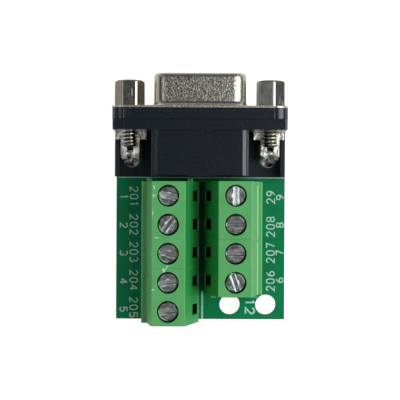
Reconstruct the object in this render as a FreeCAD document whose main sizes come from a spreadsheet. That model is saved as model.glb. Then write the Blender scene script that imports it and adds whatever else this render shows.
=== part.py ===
import FreeCAD, Part
import math
import os
import Sketcher

# A nine-way D-sub socket on a small circuit board, with two rows of screw terminals back to back.
# Frame: X across the board, Y out of the socket's mouth, Z up from the board.
# The origin is on the socket's axis, in the front face of its flange.

# Driving sizes in millimetres, and degrees where the note says so.
SIZES = [
    ("flange_width", 30.8, "front shell's flange, across"),
    ("flange_height", 12.5, "front shell's flange, up"),
    ("flange_thick", 0.35, "flange sheet"),
    ("flange_corner", 2.0, "corner radius of the flange"),
    ("flange_lift", 0.05, "flange's lower edge above the board's top face"),
    ("jack_inset", 2.905, "jackscrew axis to the flange's end"),
    ("sleeve_inset", 7.3, "flange's end to the D sleeve at its widest"),
    ("sleeve_margin", 2.3, "flange's long edge to the D sleeve"),
    ("sleeve_reach", 5.9, "D sleeve in front of the flange"),
    ("sleeve_wall", 0.4, "D sleeve sheet"),
    ("sleeve_corner", 2.2, "D sleeve, outside corner radius"),
    ("sleeve_lean", 10, "lean of the D's sides, degrees"),
    ("sleeve_round", 0.6, "outside radius where the sleeve's front turns in"),
    ("sleeve_lip", 0.3, "the sleeve's front turned in past its wall"),
    ("sleeve_lip_thick", 0.35, "thickness of the turned-in lip"),
    ("sleeve_root", 0.9, "draw radius between sleeve and flange"),
    ("plate_inset", 0.08, "flange's end to the insulator plate's end"),
    ("plate_corner", 1.8, "corner radius of the insulator plate"),
    ("plate_groove_from_end", 2.1, "insulator plate's end to the groove across its long edges"),
    ("plate_groove", 0.3, "groove across the plate's long edges, width and depth"),
    ("plate_trim", 0.1, "flange's long edge to the insulator plate"),
    ("plate_thick", 1.95, "insulator plate behind the flange"),
    ("nose_gap", 0.05, "insulator nose to the sleeve, all round"),
    ("contact_margin", 2.35, "D sleeve's width left over by five contact pitches"),
    ("contact_bore_deep", 5.0, "contact bore, depth"),
    ("contact_gap", 0.05, "contact barrel to its cavity, radial"),
    ("contact_cover", 0.6, "plastic in front of a contact"),
    ("contact_stand", 0.95, "contact barrel behind the insulator plate"),
    ("tail_bend", 0.9, "contact tail, outside bend radius"),
    ("pin_reach", 1.6, "pins below the board"),
    ("block_trim", 0.15, "rear housing's front wall lower than the flange"),
    ("block_inset", 0.2, "flange's end to the rear housing's end"),
    ("block_thick", 1.85, "rear housing, front wall"),
    ("block_corner", 0.4, "rear housing, front wall's upright corners"),
    ("hood_inset", 0.05, "D sleeve's widest place to the hood's side"),
    ("hood_step", 0.45, "ledge on the hood's sides"),
    ("hood_step_drop", 1.3, "ledge below the hood's top"),
    ("hood_step_round", 0.2, "rounding of the ledge"),
    ("hood_drop", 0.75, "hood's top below the front wall's"),
    ("hood_reach", 8.05, "hood behind the front wall"),
    ("hood_bevel_wide", 0.6, "shallow bevel along the hood's long top edges, width"),
    ("hood_bevel_drop", 0.22, "shallow bevel along the hood's long top edges, drop"),
    ("hood_round", 0.25, "rounding of the hood's rear top edge"),
    ("hood_wall", 0.9, "hood wall"),
    ("rail_width", 0.85, "side rail, across"),
    ("floor_thick", 0.9, "floor of the side wells"),
    ("lock_window", 3.4, "opening in the well floor, across"),
    ("lock_window_shift", 0.3, "opening's middle inward of the board lock"),
    ("lock_window_behind", 2.2, "front wall to the floor opening"),
    ("sheet", 0.8, "bracket sheet"),
    ("seat_gap", 0.05, "between a part and the pocket it sits in"),
    ("wing_inset", 0.2, "bracket's outer edge to the housing's side"),
    ("wing_inner", 2.95, "bracket, screw axis to the inner edge"),
    ("wing_reach", 1.46, "bracket's wide part behind the front wall"),
    ("bracket_rise", 3.0, "bracket's upright plate above the screw axis"),
    ("strap_width", 3.36, "bracket strap"),
    ("strap_below", 2.0, "strap's top below the screw axis"),
    ("strap_bend", 1.15, "strap, outside radius at the board lock"),
    ("plate_bend", 1.0, "bracket, outside radius at the upright plate"),
    ("inner_bend", 0.25, "bracket, inside radius of both bends"),
    ("lock_behind", 4.7, "front wall to the board lock"),
    ("lock_hole_dia", 2.9, "board-lock hole"),
    ("lock_play", 0.2, "board-lock legs to their hole, each side"),
    ("lock_neck", 2.1, "where the legs narrow, above the board"),
    ("lock_slit", 1.07, "gap between the legs, and slot width"),
    ("lock_reach", 1.5, "board-lock legs below the board"),
    ("slot_behind", 2.76, "front wall to the strap's slot"),
    ("slot_long", 0.89, "strap's slot, front to rear"),
    ("slot_bar", 0.45, "bar between the slot and the fork"),
    ("hex_flats", 4.75, "jackscrew hexagon, across flats"),
    ("hex_reach", 4.78, "jackscrew hexagon in front of the flange"),
    ("hex_edge", 0.35, "rounding of the hexagon's long edges"),
    ("hex_bevel", 0.45, "bevel of the hexagon's front end"),
    ("hex_turn_left", 0, "turn of the left hexagon, degrees"),
    ("hex_turn_right", -20, "turn of the right hexagon, degrees"),
    ("jack_tap_dia", 2.4, "jackscrew's threaded hole, core"),
    ("jack_web", 0.33, "jackscrew's threaded hole ends before the flange"),
    ("jack_shank_dia", 2.84, "jackscrew shank, over the thread"),
    ("jack_shank_proud", 2.83, "jackscrew shank behind the front wall"),
    ("jack_shank_bevel", 0.35, "jackscrew shank's tip"),
    ("jack_hole_gap", 0.18, "jackscrew shank to the plastic, radial"),
    ("jack_tap_gap", 0.03, "shank to the bracket's threaded hole, radial"),
    ("board_thick", 1.6, "circuit board"),
    ("board_behind", 0.7, "flange's rear face to the board's front edge"),
    ("board_inset", 0.115, "flange's end to the board's side"),
    ("board_shift", 0.155, "board and terminals to the right of the socket's axis"),
    ("board_short", 0.15, "left terminals past the board's rear edge"),
    ("fixing_dia", 3.7, "fixing hole in the board"),
    ("fixing_pitch", 6.52, "between the two fixing holes"),
    ("fixing_from_side", 3.4, "outer fixing hole to the board's right edge"),
    ("fixing_from_rear", 2.64, "fixing holes to the board's rear edge"),
    ("pitch", 5.0, "between terminals"),
    ("case_depth", 10.22, "terminal housing, rear to wire side"),
    ("case_height", 14.0, "terminal housing, up from the board"),
    ("case_slope_from", 4.5, "where the rear slope starts, above the board"),
    ("case_slope_run", 2.35, "run of the rear slope"),
    ("case_lean_run", 1.1, "run of the wire side's upper wall"),
    ("case_lip", 0.93, "ledge over the wire entries"),
    ("case_lip_height", 7.0, "ledge above the board"),
    ("case_lip_bevel", 0.2, "bevel of the ledge"),
    ("case_edge", 0.15, "rounding of the long top edges"),
    ("left_offset", 0.235, "board's centre line to the left housings' rear"),
    ("right_offset", 0.715, "board's centre line to the right housings' rear"),
    ("left_gap", 0.95, "hood to the left housings"),
    ("right_gap", 0.9, "hood to the right housings"),
    ("key_proud", 0.55, "dovetail key on a housing's end"),
    ("key_root", 0.7, "dovetail key, width at its root"),
    ("key_tip", 1.05, "dovetail key, width at its tip"),
    ("key_gap", 0.05, "dovetail key to its groove"),
    ("key_from_rear", 1.6, "rear key to the housing's rear"),
    ("key_from_wire_side", 1.38, "wire-side key to the housing's wire side"),
    ("cell_wall", 0.9, "plastic between two cage cells"),
    ("cage_gap", 0.1, "cage to its cell, each side"),
    ("seat_deep", 3.05, "seat of the screw head below the housing's top"),
    ("neck_long", 0.75, "screw seat to the cage cell's ceiling"),
    ("head_gap", 0.19, "screw head to its hole, radial"),
    ("neck_gap", 0.15, "screw shank to the housing, radial"),
    ("entry_jamb", 0.45, "cage cell's side to the wire entry's"),
    ("entry_sill", 1.9, "wire entry's sill above the board"),
    ("entry_head", 1.4, "wire entry's top below the ledge"),
    ("entry_bevel", 0.25, "lead-in of the wire entry"),
    ("peep_head", 1.2, "rear window's top below the cell's ceiling"),
    ("peep_drop", 1.1, "rear window's sill below the fixed jaw's top"),
    ("peep_wall", 0.3, "wall below the rear window"),
    ("head_high", 2.15, "clamp screw head"),
    ("head_bevel", 0.15, "clamp screw head's edge"),
    ("driver_slot", 0.65, "clamp screw's slot, width"),
    ("driver_slot_deep", 0.95, "clamp screw's slot, depth"),
    ("shank_bevel", 0.4, "clamp screw's tip"),
    ("tip_gap", 0.2, "clamp screw's tip above the fixed jaw"),
    ("thread_gap", 0.05, "shank to the cage's threaded hole, radial"),
    ("cage_depth", 4.6, "wire cage, along the wire"),
    ("cage_rest", 1.3, "wire cage above the board when open"),
    ("cage_side", 0.6, "wire cage's side wall"),
    ("cage_base", 0.8, "wire cage's lower jaw"),
    ("cage_roof", 1.3, "wire cage's threaded roof"),
    ("cage_clear", 0.1, "wire cage's roof above the fixed jaw when open"),
    ("strip_thick", 0.8, "solder strip"),
    ("strip_side_gap", 0.2, "solder strip to the cage's side walls"),
    ("strip_level", 6.1, "fixed jaw's top above the board"),
    ("strip_behind", 3.65, "screw axis to the solder strip's rear"),
    ("strip_past", 2.05, "fixed jaw past the screw axis"),
    ("strip_gap", 0.15, "solder strip to its slot in the housing"),
    ("strip_bend", 1.0, "solder strip, outside bend radius"),
    ("pin_play", 0.4, "pin hole narrower than the pin's two widths added"),
    ("solder_high", 1.1, "solder joint below the board"),
    ("solder_base", 0.6, "solder joint's foot past the hole's radius, terminals"),
    ("solder_tip", 0.7, "solder joint's tip radius"),
    ("slot_turn_1", -15, "turn of screw 1's slot, degrees"),
    ("slot_turn_2", 55, "turn of screw 2's slot, degrees"),
    ("slot_turn_3", -15, "turn of screw 3's slot, degrees"),
    ("slot_turn_4", 8, "turn of screw 4's slot, degrees"),
    ("slot_turn_5", 3, "turn of screw 5's slot, degrees"),
    ("slot_turn_6", -71, "turn of screw 6's slot, degrees"),
    ("slot_turn_7", 0, "turn of screw 7's slot, degrees"),
    ("slot_turn_8", 0, "turn of screw 8's slot, degrees"),
    ("slot_turn_9", 90, "turn of screw 9's slot, degrees"),
]

# How far a cut runs past the face that it opens.
OVERCUT = 1.0
# Cosine of half a hexagon's corner angle: flats to corners.
HEX_COSINE = math.cos(math.radians(30))

doc = FreeCAD.newDocument("TerminalAdapter")
sheet = doc.addObject("Spreadsheet::Sheet", "Sizes")
nodes = []


class Size:
    """A length with its value now and the formula over the sheet's cells that drives it."""

    def __init__(self, value, formula):
        self.value = value
        self.formula = formula

    def __add__(self, other):
        other = as_size(other)
        return Size(self.value + other.value, f"({self.formula} + {other.formula})")

    def __sub__(self, other):
        other = as_size(other)
        return Size(self.value - other.value, f"({self.formula} - {other.formula})")

    def __mul__(self, factor):
        return Size(self.value * factor, f"({self.formula} * {factor:.9f})")

    def __truediv__(self, factor):
        return self * (1 / factor)

    def __neg__(self):
        return self * -1

    def times(self, other):
        return Size(self.value * other.value, f"({self.formula} * {other.formula})")


def as_size(number):
    """A plain number as a length, or a length as it is."""
    if isinstance(number, Size):
        return number
    return Size(number, f"({number:.9f})")


class Cells:
    """The sheet's sizes by name."""


cell = Cells()
for row, (alias, value, note) in enumerate(SIZES, 1):
    sheet.set(f"A{row}", note)
    sheet.set(f"B{row}", str(value))
    sheet.setAlias(f"B{row}", alias)
    setattr(cell, alias, Size(float(value), f"Sizes.{alias}"))
doc.recompute()


# Sizes that follow from others, so that pieces that meet change together.
cell.jack_pitch = cell.flange_width - cell.jack_inset * 2
cell.sleeve_width = cell.flange_width - cell.sleeve_inset * 2
cell.sleeve_height = cell.flange_height - cell.sleeve_margin * 2
cell.plate_width = cell.flange_width - cell.plate_inset * 2
cell.plate_height = cell.flange_height - cell.plate_trim * 2
cell.block_width = cell.flange_width - cell.block_inset * 2
cell.board_width = cell.flange_width - cell.board_inset * 2
cell.socket_rise = cell.flange_height / 2 + cell.flange_lift
cell.block_height = cell.flange_height - cell.block_trim
cell.hood_height = cell.block_height - cell.hood_drop
cell.hood_width = cell.sleeve_width - cell.hood_inset * 2
cell.strap_level = cell.socket_rise - cell.strap_below
cell.wing_outer = (cell.block_width - cell.jack_pitch) / 2 - cell.wing_inset
cell.lock_width = cell.lock_hole_dia - cell.lock_play * 2
cell.jack_hole_dia = cell.jack_shank_dia + cell.jack_hole_gap * 2
cell.contact_pitch = (cell.sleeve_width - cell.contact_margin) / 5
cell.contact_row_gap = cell.contact_pitch * 1.0253
cell.contact_dia = cell.contact_pitch * 0.614
cell.contact_bore = cell.contact_pitch * 0.379
cell.entry_dia = cell.contact_pitch * 0.451
cell.tail_wide = cell.contact_pitch * 0.2166
cell.tail_hole_dia = cell.tail_wide * 1.75
cell.shank_dia = cell.pitch * 0.5
cell.head_dia = cell.pitch * 0.684
cell.pin_width = cell.pitch * 0.2
cell.peep_width = cell.pitch * 0.386
cell.head_hole_dia = cell.head_dia + cell.head_gap * 2
cell.neck_hole_dia = cell.shank_dia + cell.neck_gap * 2
cell.cell_width = cell.pitch - cell.cell_wall
cell.entry_width = cell.cell_width - cell.entry_jamb * 2
cell.cage_width = cell.cell_width - cell.cage_gap * 2
cell.strip_width = cell.cage_width - cell.cage_side * 2 - cell.strip_side_gap * 2
cell.pin_hole_dia = cell.strip_thick + cell.pin_width - cell.pin_play
cell.axis_from_rear = cell.case_depth * 0.5235
cell.strip_from_rear = cell.axis_from_rear - cell.strip_behind
cell.screw_seat = cell.case_height - cell.seat_deep
cell.cell_top = cell.screw_seat - cell.neck_long
cell.shank_long = cell.screw_seat - cell.strip_level - cell.tip_gap
cell.cage_high = cell.strip_level + cell.cage_clear + cell.cage_roof - cell.cage_rest
cell.peep_sill = cell.strip_level - cell.peep_drop
cell.peep_height = cell.cell_top - cell.peep_sill - cell.peep_head
cell.entry_height = cell.case_lip_height - cell.entry_sill - cell.entry_head


def bind(thing, name, size):
    """Tie a property to the sheet."""
    thing.setExpression(name, as_size(size).formula)


# Sketches lie across one axis: the plane's name, and the sign of its normal along that axis.
PLANES = {"XY": ("XY_Plane", 1), "XZ": ("XZ_Plane", -1), "YZ": ("YZ_Plane", 1)}
AXES = "xyz"


def origin_feature(body, role):
    return [feature for feature in body.Origin.OriginFeatures if feature.Role == role][0]


def new_body(label):
    body = doc.addObject("PartDesign::Body", label)
    body.Label = label
    nodes.append(body)
    return body


def place(thing, x=0, y=0, z=0, turn=None, about=(0, 0, 1)):
    """Put a piece at its place, turned by an angle in degrees about an axis."""
    if turn is not None:
        rotation = FreeCAD.Rotation(FreeCAD.Vector(*about), as_size(turn).value or 360)
        thing.Placement = FreeCAD.Placement(FreeCAD.Vector(), rotation)
        bind(thing, "Placement.Rotation.Angle", turn)
    bind(thing, "Placement.Base.x", x)
    bind(thing, "Placement.Base.y", y)
    bind(thing, "Placement.Base.z", z)


def drive(sketch, kind, index, position, size):
    """Hold a sketch point or radius to a size from the sheet."""
    size = as_size(size)
    if kind == "Radius":
        number = sketch.addConstraint(Sketcher.Constraint(kind, index, size.value))
    else:
        number = sketch.addConstraint(Sketcher.Constraint(kind, -1, 1, index, position, size.value))
    sketch.setExpression(f"Constraints[{number}]", size.formula)


def draw_polygon(sketch, points):
    first = sketch.GeometryCount
    corners = [FreeCAD.Vector(as_size(a).value, as_size(b).value, 0) for a, b in points]
    count = len(corners)
    for index in range(count):
        sketch.addGeometry(Part.LineSegment(corners[index], corners[(index + 1) % count]), False)
    for index in range(count):
        following = first + (index + 1) % count
        sketch.addConstraint(Sketcher.Constraint("Coincident", first + index, 2, following, 1))
    for index, (across, up) in enumerate(points):
        drive(sketch, "DistanceX", first + index, 1, across)
        drive(sketch, "DistanceY", first + index, 1, up)


def draw_circle(sketch, across, up, radius):
    centre = FreeCAD.Vector(as_size(across).value, as_size(up).value, 0)
    circle = Part.Circle(centre, FreeCAD.Vector(0, 0, 1), as_size(radius).value)
    index = sketch.addGeometry(circle, False)
    drive(sketch, "DistanceX", index, 3, across)
    drive(sketch, "DistanceY", index, 3, up)
    drive(sketch, "Radius", index, 0, radius)


def draw_dee(sketch, inset):
    """The D, wide side up, drawn in from its outside by an inset. Its corners keep their centres."""
    lean = math.radians(cell.sleeve_lean.value)
    cosine = Size(math.cos(lean), f"cos({cell.sleeve_lean.formula} * 1 deg)")
    sine = Size(math.sin(lean), f"sin({cell.sleeve_lean.formula} * 1 deg)")
    slope = Size(math.tan(lean), f"tan({cell.sleeve_lean.formula} * 1 deg)")
    radius = cell.sleeve_corner - inset
    rise = cell.sleeve_height / 2 - cell.sleeve_corner
    wide = cell.sleeve_width / 2 - cell.sleeve_corner
    narrow = wide - (rise * 2).times(slope)
    out = radius.times(cosine)
    drop = radius.times(sine)
    right = [
        (narrow, -rise - radius),
        (narrow + out, -rise - drop),
        (wide + out, rise - drop),
        (wide, rise + radius),
    ]
    left = [(-across, up) for across, up in reversed(right)]
    centres = [(narrow, -rise), (wide, rise), (-wide, rise), (-narrow, -rise)]
    turns = [(-90, -cell.sleeve_lean.value), (-cell.sleeve_lean.value, 90)]
    turns += [(180 - high, 180 - low) for low, high in reversed(turns)]
    ends = right + left
    first = sketch.GeometryCount
    for index, (centre, turn) in enumerate(zip(centres, turns)):
        middle = FreeCAD.Vector(centre[0].value, centre[1].value, 0)
        circle = Part.Circle(middle, FreeCAD.Vector(0, 0, 1), radius.value)
        arc = Part.ArcOfCircle(circle, math.radians(turn[0]), math.radians(turn[1]))
        sketch.addGeometry(arc, False)
        start = ends[index * 2 + 1]
        end = ends[(index * 2 + 2) % 8]
        line = [FreeCAD.Vector(point[0].value, point[1].value, 0) for point in (start, end)]
        sketch.addGeometry(Part.LineSegment(*line), False)
    for index in range(8):
        following = first + (index + 1) % 8
        sketch.addConstraint(Sketcher.Constraint("Coincident", first + index, 2, following, 1))
    for index in range(4):
        arc = first + index * 2
        drive(sketch, "DistanceX", arc, 1, ends[index * 2][0])
        drive(sketch, "DistanceY", arc, 1, ends[index * 2][1])
        drive(sketch, "DistanceX", arc, 2, ends[index * 2 + 1][0])
        drive(sketch, "DistanceY", arc, 2, ends[index * 2 + 1][1])
        drive(sketch, "Radius", arc, 0, radius)


def sketch_on(body, plane, level, polygons, circles, dees):
    role, sign = PLANES[plane]
    sketch = body.newObject("Sketcher::SketchObject", "Outline")
    sketch.AttachmentSupport = [(origin_feature(body, role), "")]
    sketch.MapMode = "FlatFace"
    bind(sketch, "AttachmentOffset.Base.z", as_size(level) * sign)
    for points in polygons:
        draw_polygon(sketch, points)
    for circle in circles:
        draw_circle(sketch, *circle)
    for inset in dees:
        draw_dee(sketch, inset)
    return sketch


def pad(body, plane, low, high, polygons=(), circles=(), dees=()):
    """Material between two levels along the axis across the plane."""
    low, high = as_size(low), as_size(high)
    start = low if PLANES[plane][1] > 0 else high
    feature = body.newObject("PartDesign::Pad", "Pad")
    feature.Profile = sketch_on(body, plane, start, polygons, circles, dees)
    bind(feature, "Length", high - low)
    return feature


def pocket(body, plane, low, high, polygons=(), circles=(), dees=()):
    """A cut between two levels along the axis across the plane."""
    low, high = as_size(low), as_size(high)
    start = high if PLANES[plane][1] > 0 else low
    doc.recompute()
    feature = body.newObject("PartDesign::Pocket", "Pocket")
    feature.Profile = sketch_on(body, plane, start, polygons, circles, dees)
    bind(feature, "Length", high - low)
    before = feature.BaseFeature.Shape.Volume
    doc.recompute()
    if feature.Shape.Volume >= before:
        raise RuntimeError(f"{body.Label}: a pocket cuts nothing")
    return feature


def revolve(body, plane, axis, points, kind="PartDesign::Revolution"):
    """Material, or with a groove a cut, turned about one of the body's axes."""
    feature = body.newObject(kind, "Turned")
    feature.Profile = sketch_on(body, plane, 0, [points], [], [])
    feature.ReferenceAxis = (origin_feature(body, axis), [""])
    feature.Angle = 360
    return feature


def repeat(body, features, axis, length, count):
    """Copies of features along an axis, over a whole length."""
    doc.recompute()
    pattern = body.newObject("PartDesign::LinearPattern", "Row")
    pattern.Originals = features
    pattern.Direction = (origin_feature(body, axis), [""])
    bind(pattern, "Length", length)
    pattern.Occurrences = count
    body.Tip = pattern
    doc.recompute()
    return pattern


def rectangle(low_a, high_a, low_b, high_b):
    return [(low_a, low_b), (high_a, low_b), (high_a, high_b), (low_a, high_b)]


def near(number, places):
    return any(abs(number - as_size(place).value) < 1e-4 for place in places)


def straight(axis, **places):
    """Picks straight edges along an axis whose middles lie at the given places."""

    def picked(edge):
        if edge.Curve.TypeId != "Part::GeomLine":
            return False
        along = edge.tangentAt(edge.FirstParameter)[AXES.index(axis)]
        middle = edge.CenterOfMass
        return abs(along) > 0.9999 and all(near(middle[AXES.index(key)], spots) for key, spots in places.items())

    return picked


def level_ring(axis, place, reach):
    """Picks the edges that lie at one level of an axis, within a reach from it."""

    def picked(edge):
        box = edge.BoundBox
        lows = (box.XMin, box.YMin, box.ZMin)
        highs = (box.XMax, box.YMax, box.ZMax)
        side = AXES.index(axis)
        flat = near(lows[side], [place]) and near(highs[side], [place])
        others = [number for index, number in enumerate(lows + highs) if index % 3 != side]
        return flat and max(abs(number) for number in others) < reach.value

    return picked


def finish_edges(body, kind, picked, size):
    """Fillet or chamfer the edges that a test picks."""
    doc.recompute()
    base = body.Tip
    names = [f"Edge{index}" for index, edge in enumerate(base.Shape.Edges, 1) if picked(edge)]
    if not names:
        raise RuntimeError(f"{body.Label}: no edge to finish")
    feature = body.newObject(f"PartDesign::{kind}", kind)
    feature.Base = (base, names)
    bind(feature, "Radius" if kind == "Fillet" else "Size", size)
    return feature


# Levels and places that several pieces share.
board_top = -cell.socket_rise
board_bottom = board_top - cell.board_thick
pin_tip = board_bottom - cell.pin_reach
jack_side = cell.jack_pitch / 2
nose_front = cell.sleeve_reach - cell.sleeve_lip_thick - cell.nose_gap
contact_front = nose_front - cell.contact_cover - cell.seat_gap
flange_rear = -cell.flange_thick
plate_rear = flange_rear - cell.plate_thick
contact_back = plate_rear - cell.contact_stand
block_rear = plate_rear - cell.block_thick
shank_end = block_rear - cell.jack_shank_proud
lock_row = block_rear - cell.lock_behind
hood_rear = block_rear - cell.hood_reach
left_front = hood_rear - cell.left_gap
right_front = hood_rear - cell.right_gap
board_front = flange_rear - cell.board_behind
board_rear = left_front - cell.pitch * 5 + cell.board_short
fixing_row = board_rear + cell.fixing_from_rear
fixing_outer = cell.board_shift + cell.board_width / 2 - cell.fixing_from_side
fixing_inner = fixing_outer - cell.fixing_pitch

# Contacts: five in the upper row, four in the lower. Looking into the socket, 1 is at the upper right.
contacts = []
for number in range(1, 6):
    contacts.append((number, cell.contact_pitch * (3 - number), 1))
for number in range(6, 10):
    contacts.append((number, cell.contact_pitch * (7.5 - number), -1))


def contact_level(row):
    return cell.contact_row_gap * (row / 2)


def tail_place(row):
    """The tails of the upper row go down further back, over the lower row's."""
    return lock_row - cell.contact_row_gap * (row / 2)


def terminal_place(number):
    """Axis of a terminal and the turn of its parts: 1 to 5 down the left side, 9 to 6 down the right."""
    if number <= 5:
        across = cell.board_shift - cell.left_offset - cell.axis_from_rear
        along = left_front - cell.pitch * (number - 0.5)
        return across, along, 180
    across = cell.board_shift + cell.right_offset + cell.axis_from_rear
    along = right_front - cell.pitch * (9.5 - number)
    return across, along, 0


def pin_place(number):
    """Middle of a terminal's solder pin in the board."""
    across, along, turn = terminal_place(number)
    inward = cell.axis_from_rear - cell.strip_from_rear - cell.strip_thick / 2
    return (across + inward if turn else across - inward), along


def circuit_board():
    body = new_body("circuit_board")
    half = cell.board_width / 2
    sides = (cell.board_shift - half, cell.board_shift + half)
    pad(body, "XY", board_bottom, board_top, [rectangle(*sides, board_rear, board_front)])
    holes = [(fixing_inner, fixing_row, cell.fixing_dia / 2), (fixing_outer, fixing_row, cell.fixing_dia / 2)]
    for side in (-1, 1):
        holes.append((jack_side * side, lock_row, cell.lock_hole_dia / 2))
    for _, across, row in contacts:
        holes.append((across, tail_place(row), cell.tail_hole_dia / 2))
    for number in range(1, 10):
        across, along = pin_place(number)
        holes.append((across, along, cell.pin_hole_dia / 2))
    pocket(body, "XY", board_bottom - OVERCUT, board_top + OVERCUT, circles=holes)
    place(body)


def front_shell():
    body = new_body("front_shell")
    half_width = cell.flange_width / 2
    half_height = cell.flange_height / 2
    pad(body, "XZ", flange_rear, 0, [rectangle(-half_width, half_width, -half_height, half_height)])
    corners = straight("y", x=[-half_width, half_width], z=[-half_height, half_height])
    finish_edges(body, "Fillet", corners, cell.flange_corner)
    pad(body, "XZ", 0, cell.sleeve_reach, dees=[as_size(0)])
    around = cell.sleeve_width / 2 + OVERCUT
    finish_edges(body, "Fillet", level_ring("y", 0, around), cell.sleeve_root)
    finish_edges(body, "Fillet", level_ring("y", cell.sleeve_reach, around), cell.sleeve_round)
    lip_rear = cell.sleeve_reach - cell.sleeve_lip_thick
    pocket(body, "XZ", flange_rear - OVERCUT, lip_rear, dees=[cell.sleeve_wall])
    pocket(body, "XZ", lip_rear - OVERCUT, cell.sleeve_reach + OVERCUT, dees=[cell.sleeve_wall + cell.sleeve_lip])
    holes = [(jack_side * side, 0, cell.jack_hole_dia / 2) for side in (-1, 1)]
    pocket(body, "XZ", flange_rear - OVERCUT, OVERCUT, circles=holes)
    place(body)


def socket_insulator():
    body = new_body("socket_insulator")
    half_width = cell.plate_width / 2
    half_height = cell.plate_height / 2
    pad(body, "XZ", plate_rear, flange_rear, [rectangle(-half_width, half_width, -half_height, half_height)])
    corners = straight("y", x=[-half_width, half_width], z=[-half_height, half_height])
    finish_edges(body, "Fillet", corners, cell.plate_corner)
    groove = half_width - cell.plate_groove_from_end
    deep = half_height - cell.plate_groove
    for side in (-1, 1):
        across = sorted_pair(groove * side, (groove - cell.plate_groove) * side)
        pocket(body, "XZ", plate_rear - OVERCUT, flange_rear + OVERCUT, [
            rectangle(*across, deep, half_height + OVERCUT),
            rectangle(*across, -half_height - OVERCUT, -deep),
        ])
    inset = cell.sleeve_wall + cell.nose_gap
    pad(body, "XZ", flange_rear, nose_front, dees=[inset])
    entries = []
    cavities = []
    for _, across, row in contacts:
        entries.append((across, contact_level(row), cell.entry_dia / 2))
        cavities.append((across, contact_level(row), cell.contact_dia / 2 + cell.contact_gap))
    pocket(body, "XZ", plate_rear - OVERCUT, nose_front + OVERCUT, circles=entries)
    pocket(body, "XZ", plate_rear - OVERCUT, nose_front - cell.contact_cover, circles=cavities)
    holes = [(jack_side * side, 0, cell.jack_hole_dia / 2) for side in (-1, 1)]
    pocket(body, "XZ", plate_rear - OVERCUT, flange_rear + OVERCUT, circles=holes)
    place(body)


def socket_contact(number, across, row):
    """A turned socket with a square tail bent down to the board."""
    body = new_body(f"socket_contact_{number}")
    level = contact_level(row)
    front = contact_front
    back = contact_back
    outer = cell.contact_dia / 2
    bore = cell.contact_bore / 2
    bottom = front - cell.contact_bore_deep
    barrel = [(front, bore), (front, outer), (back, outer), (back, 0), (bottom, 0), (bottom, bore)]
    revolve(body, "YZ", "Y_Axis", barrel)
    half = cell.tail_wide / 2
    foot = tail_place(row)
    tip = pin_tip - level
    tail = [
        (back, half),
        (foot - half, half),
        (foot - half, tip),
        (foot + half, tip),
        (foot + half, -half),
        (back, -half),
    ]
    pad(body, "YZ", -half, half, [tail])
    finish_edges(body, "Fillet", straight("x", y=[foot - half], z=[half]), cell.tail_bend)
    finish_edges(body, "Fillet", straight("x", y=[foot + half], z=[-half]), cell.tail_bend - cell.tail_wide)
    place(body, across, 0, level)


def rear_housing():
    """Front wall, hood over the pins, and an open well with a floor and a rail on each side."""
    body = new_body("rear_housing")
    half = cell.block_width / 2
    hood_half = cell.hood_width / 2
    step_half = hood_half + cell.hood_step
    wall_top = board_top + cell.block_height
    hood_top = board_top + cell.hood_height
    step_top = hood_top - cell.hood_step_drop
    wing_floor = board_top + cell.strap_level - cell.sheet - cell.seat_gap
    rail_front = block_rear - cell.wing_reach - cell.seat_gap
    rail_side = half - cell.rail_width
    floor_top = board_top + cell.floor_thick
    pad(body, "XZ", block_rear, plate_rear, [rectangle(-half, half, board_top, wall_top)])
    finish_edges(body, "Fillet", straight("y", x=[-half, half], z=[wall_top]), cell.block_corner)
    flat_half = hood_half - cell.hood_bevel_wide
    bevel_low = hood_top - cell.hood_bevel_drop
    pad(body, "XZ", hood_rear, block_rear, [[
        (-hood_half, board_top),
        (hood_half, board_top),
        (hood_half, bevel_low),
        (flat_half, hood_top),
        (-flat_half, hood_top),
        (-hood_half, bevel_low),
    ]])
    finish_edges(body, "Fillet", straight("x", y=[hood_rear], z=[hood_top]), cell.hood_round)
    pad(body, "XZ", hood_rear, block_rear, [rectangle(-step_half, step_half, board_top, step_top)])
    step_edges = straight("y", x=[-step_half, step_half], z=[step_top])
    finish_edges(body, "Fillet", step_edges, cell.hood_step_round)
    for side in (-1, 1):
        rail = sorted_pair(rail_side * side, half * side)
        floor = sorted_pair(step_half * side, rail_side * side)
        pad(body, "XY", board_top, board_top + cell.strap_level, [rectangle(*rail, hood_rear, rail_front)])
        pad(body, "XY", board_top, wing_floor, [rectangle(*rail, rail_front, block_rear)])
        pad(body, "XY", board_top, floor_top, [rectangle(*floor, hood_rear, block_rear)])
        middle = (jack_side - cell.lock_window_shift) * side
        round_end = cell.lock_window / 2
        window = (middle - round_end, middle + round_end)
        pocket(body, "XY", board_top - OVERCUT, floor_top + OVERCUT,
               [rectangle(*window, lock_row, block_rear - cell.lock_window_behind)])
        pocket(body, "XY", board_top - OVERCUT, floor_top + OVERCUT, circles=[(middle, lock_row, round_end)])
        inner = (jack_side - cell.wing_inner - cell.seat_gap) * side
        outer = (jack_side + cell.wing_outer + cell.seat_gap) * side
        pocket(body, "XZ", block_rear - OVERCUT, block_rear + cell.sheet + cell.seat_gap,
               [rectangle(*sorted_pair(inner, outer), wing_floor, cell.bracket_rise + cell.seat_gap)])
    cavity_half = hood_half - cell.hood_wall
    pocket(body, "XZ", hood_rear + cell.hood_wall, plate_rear + OVERCUT,
           [rectangle(-cavity_half, cavity_half, board_top - OVERCUT, hood_top - cell.hood_wall)])
    holes = [(jack_side * side, 0, cell.jack_hole_dia / 2) for side in (-1, 1)]
    pocket(body, "XZ", block_rear - OVERCUT, plate_rear + OVERCUT, circles=holes)
    place(body)


def sorted_pair(first, second):
    return (first, second) if first.value < second.value else (second, first)


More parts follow.
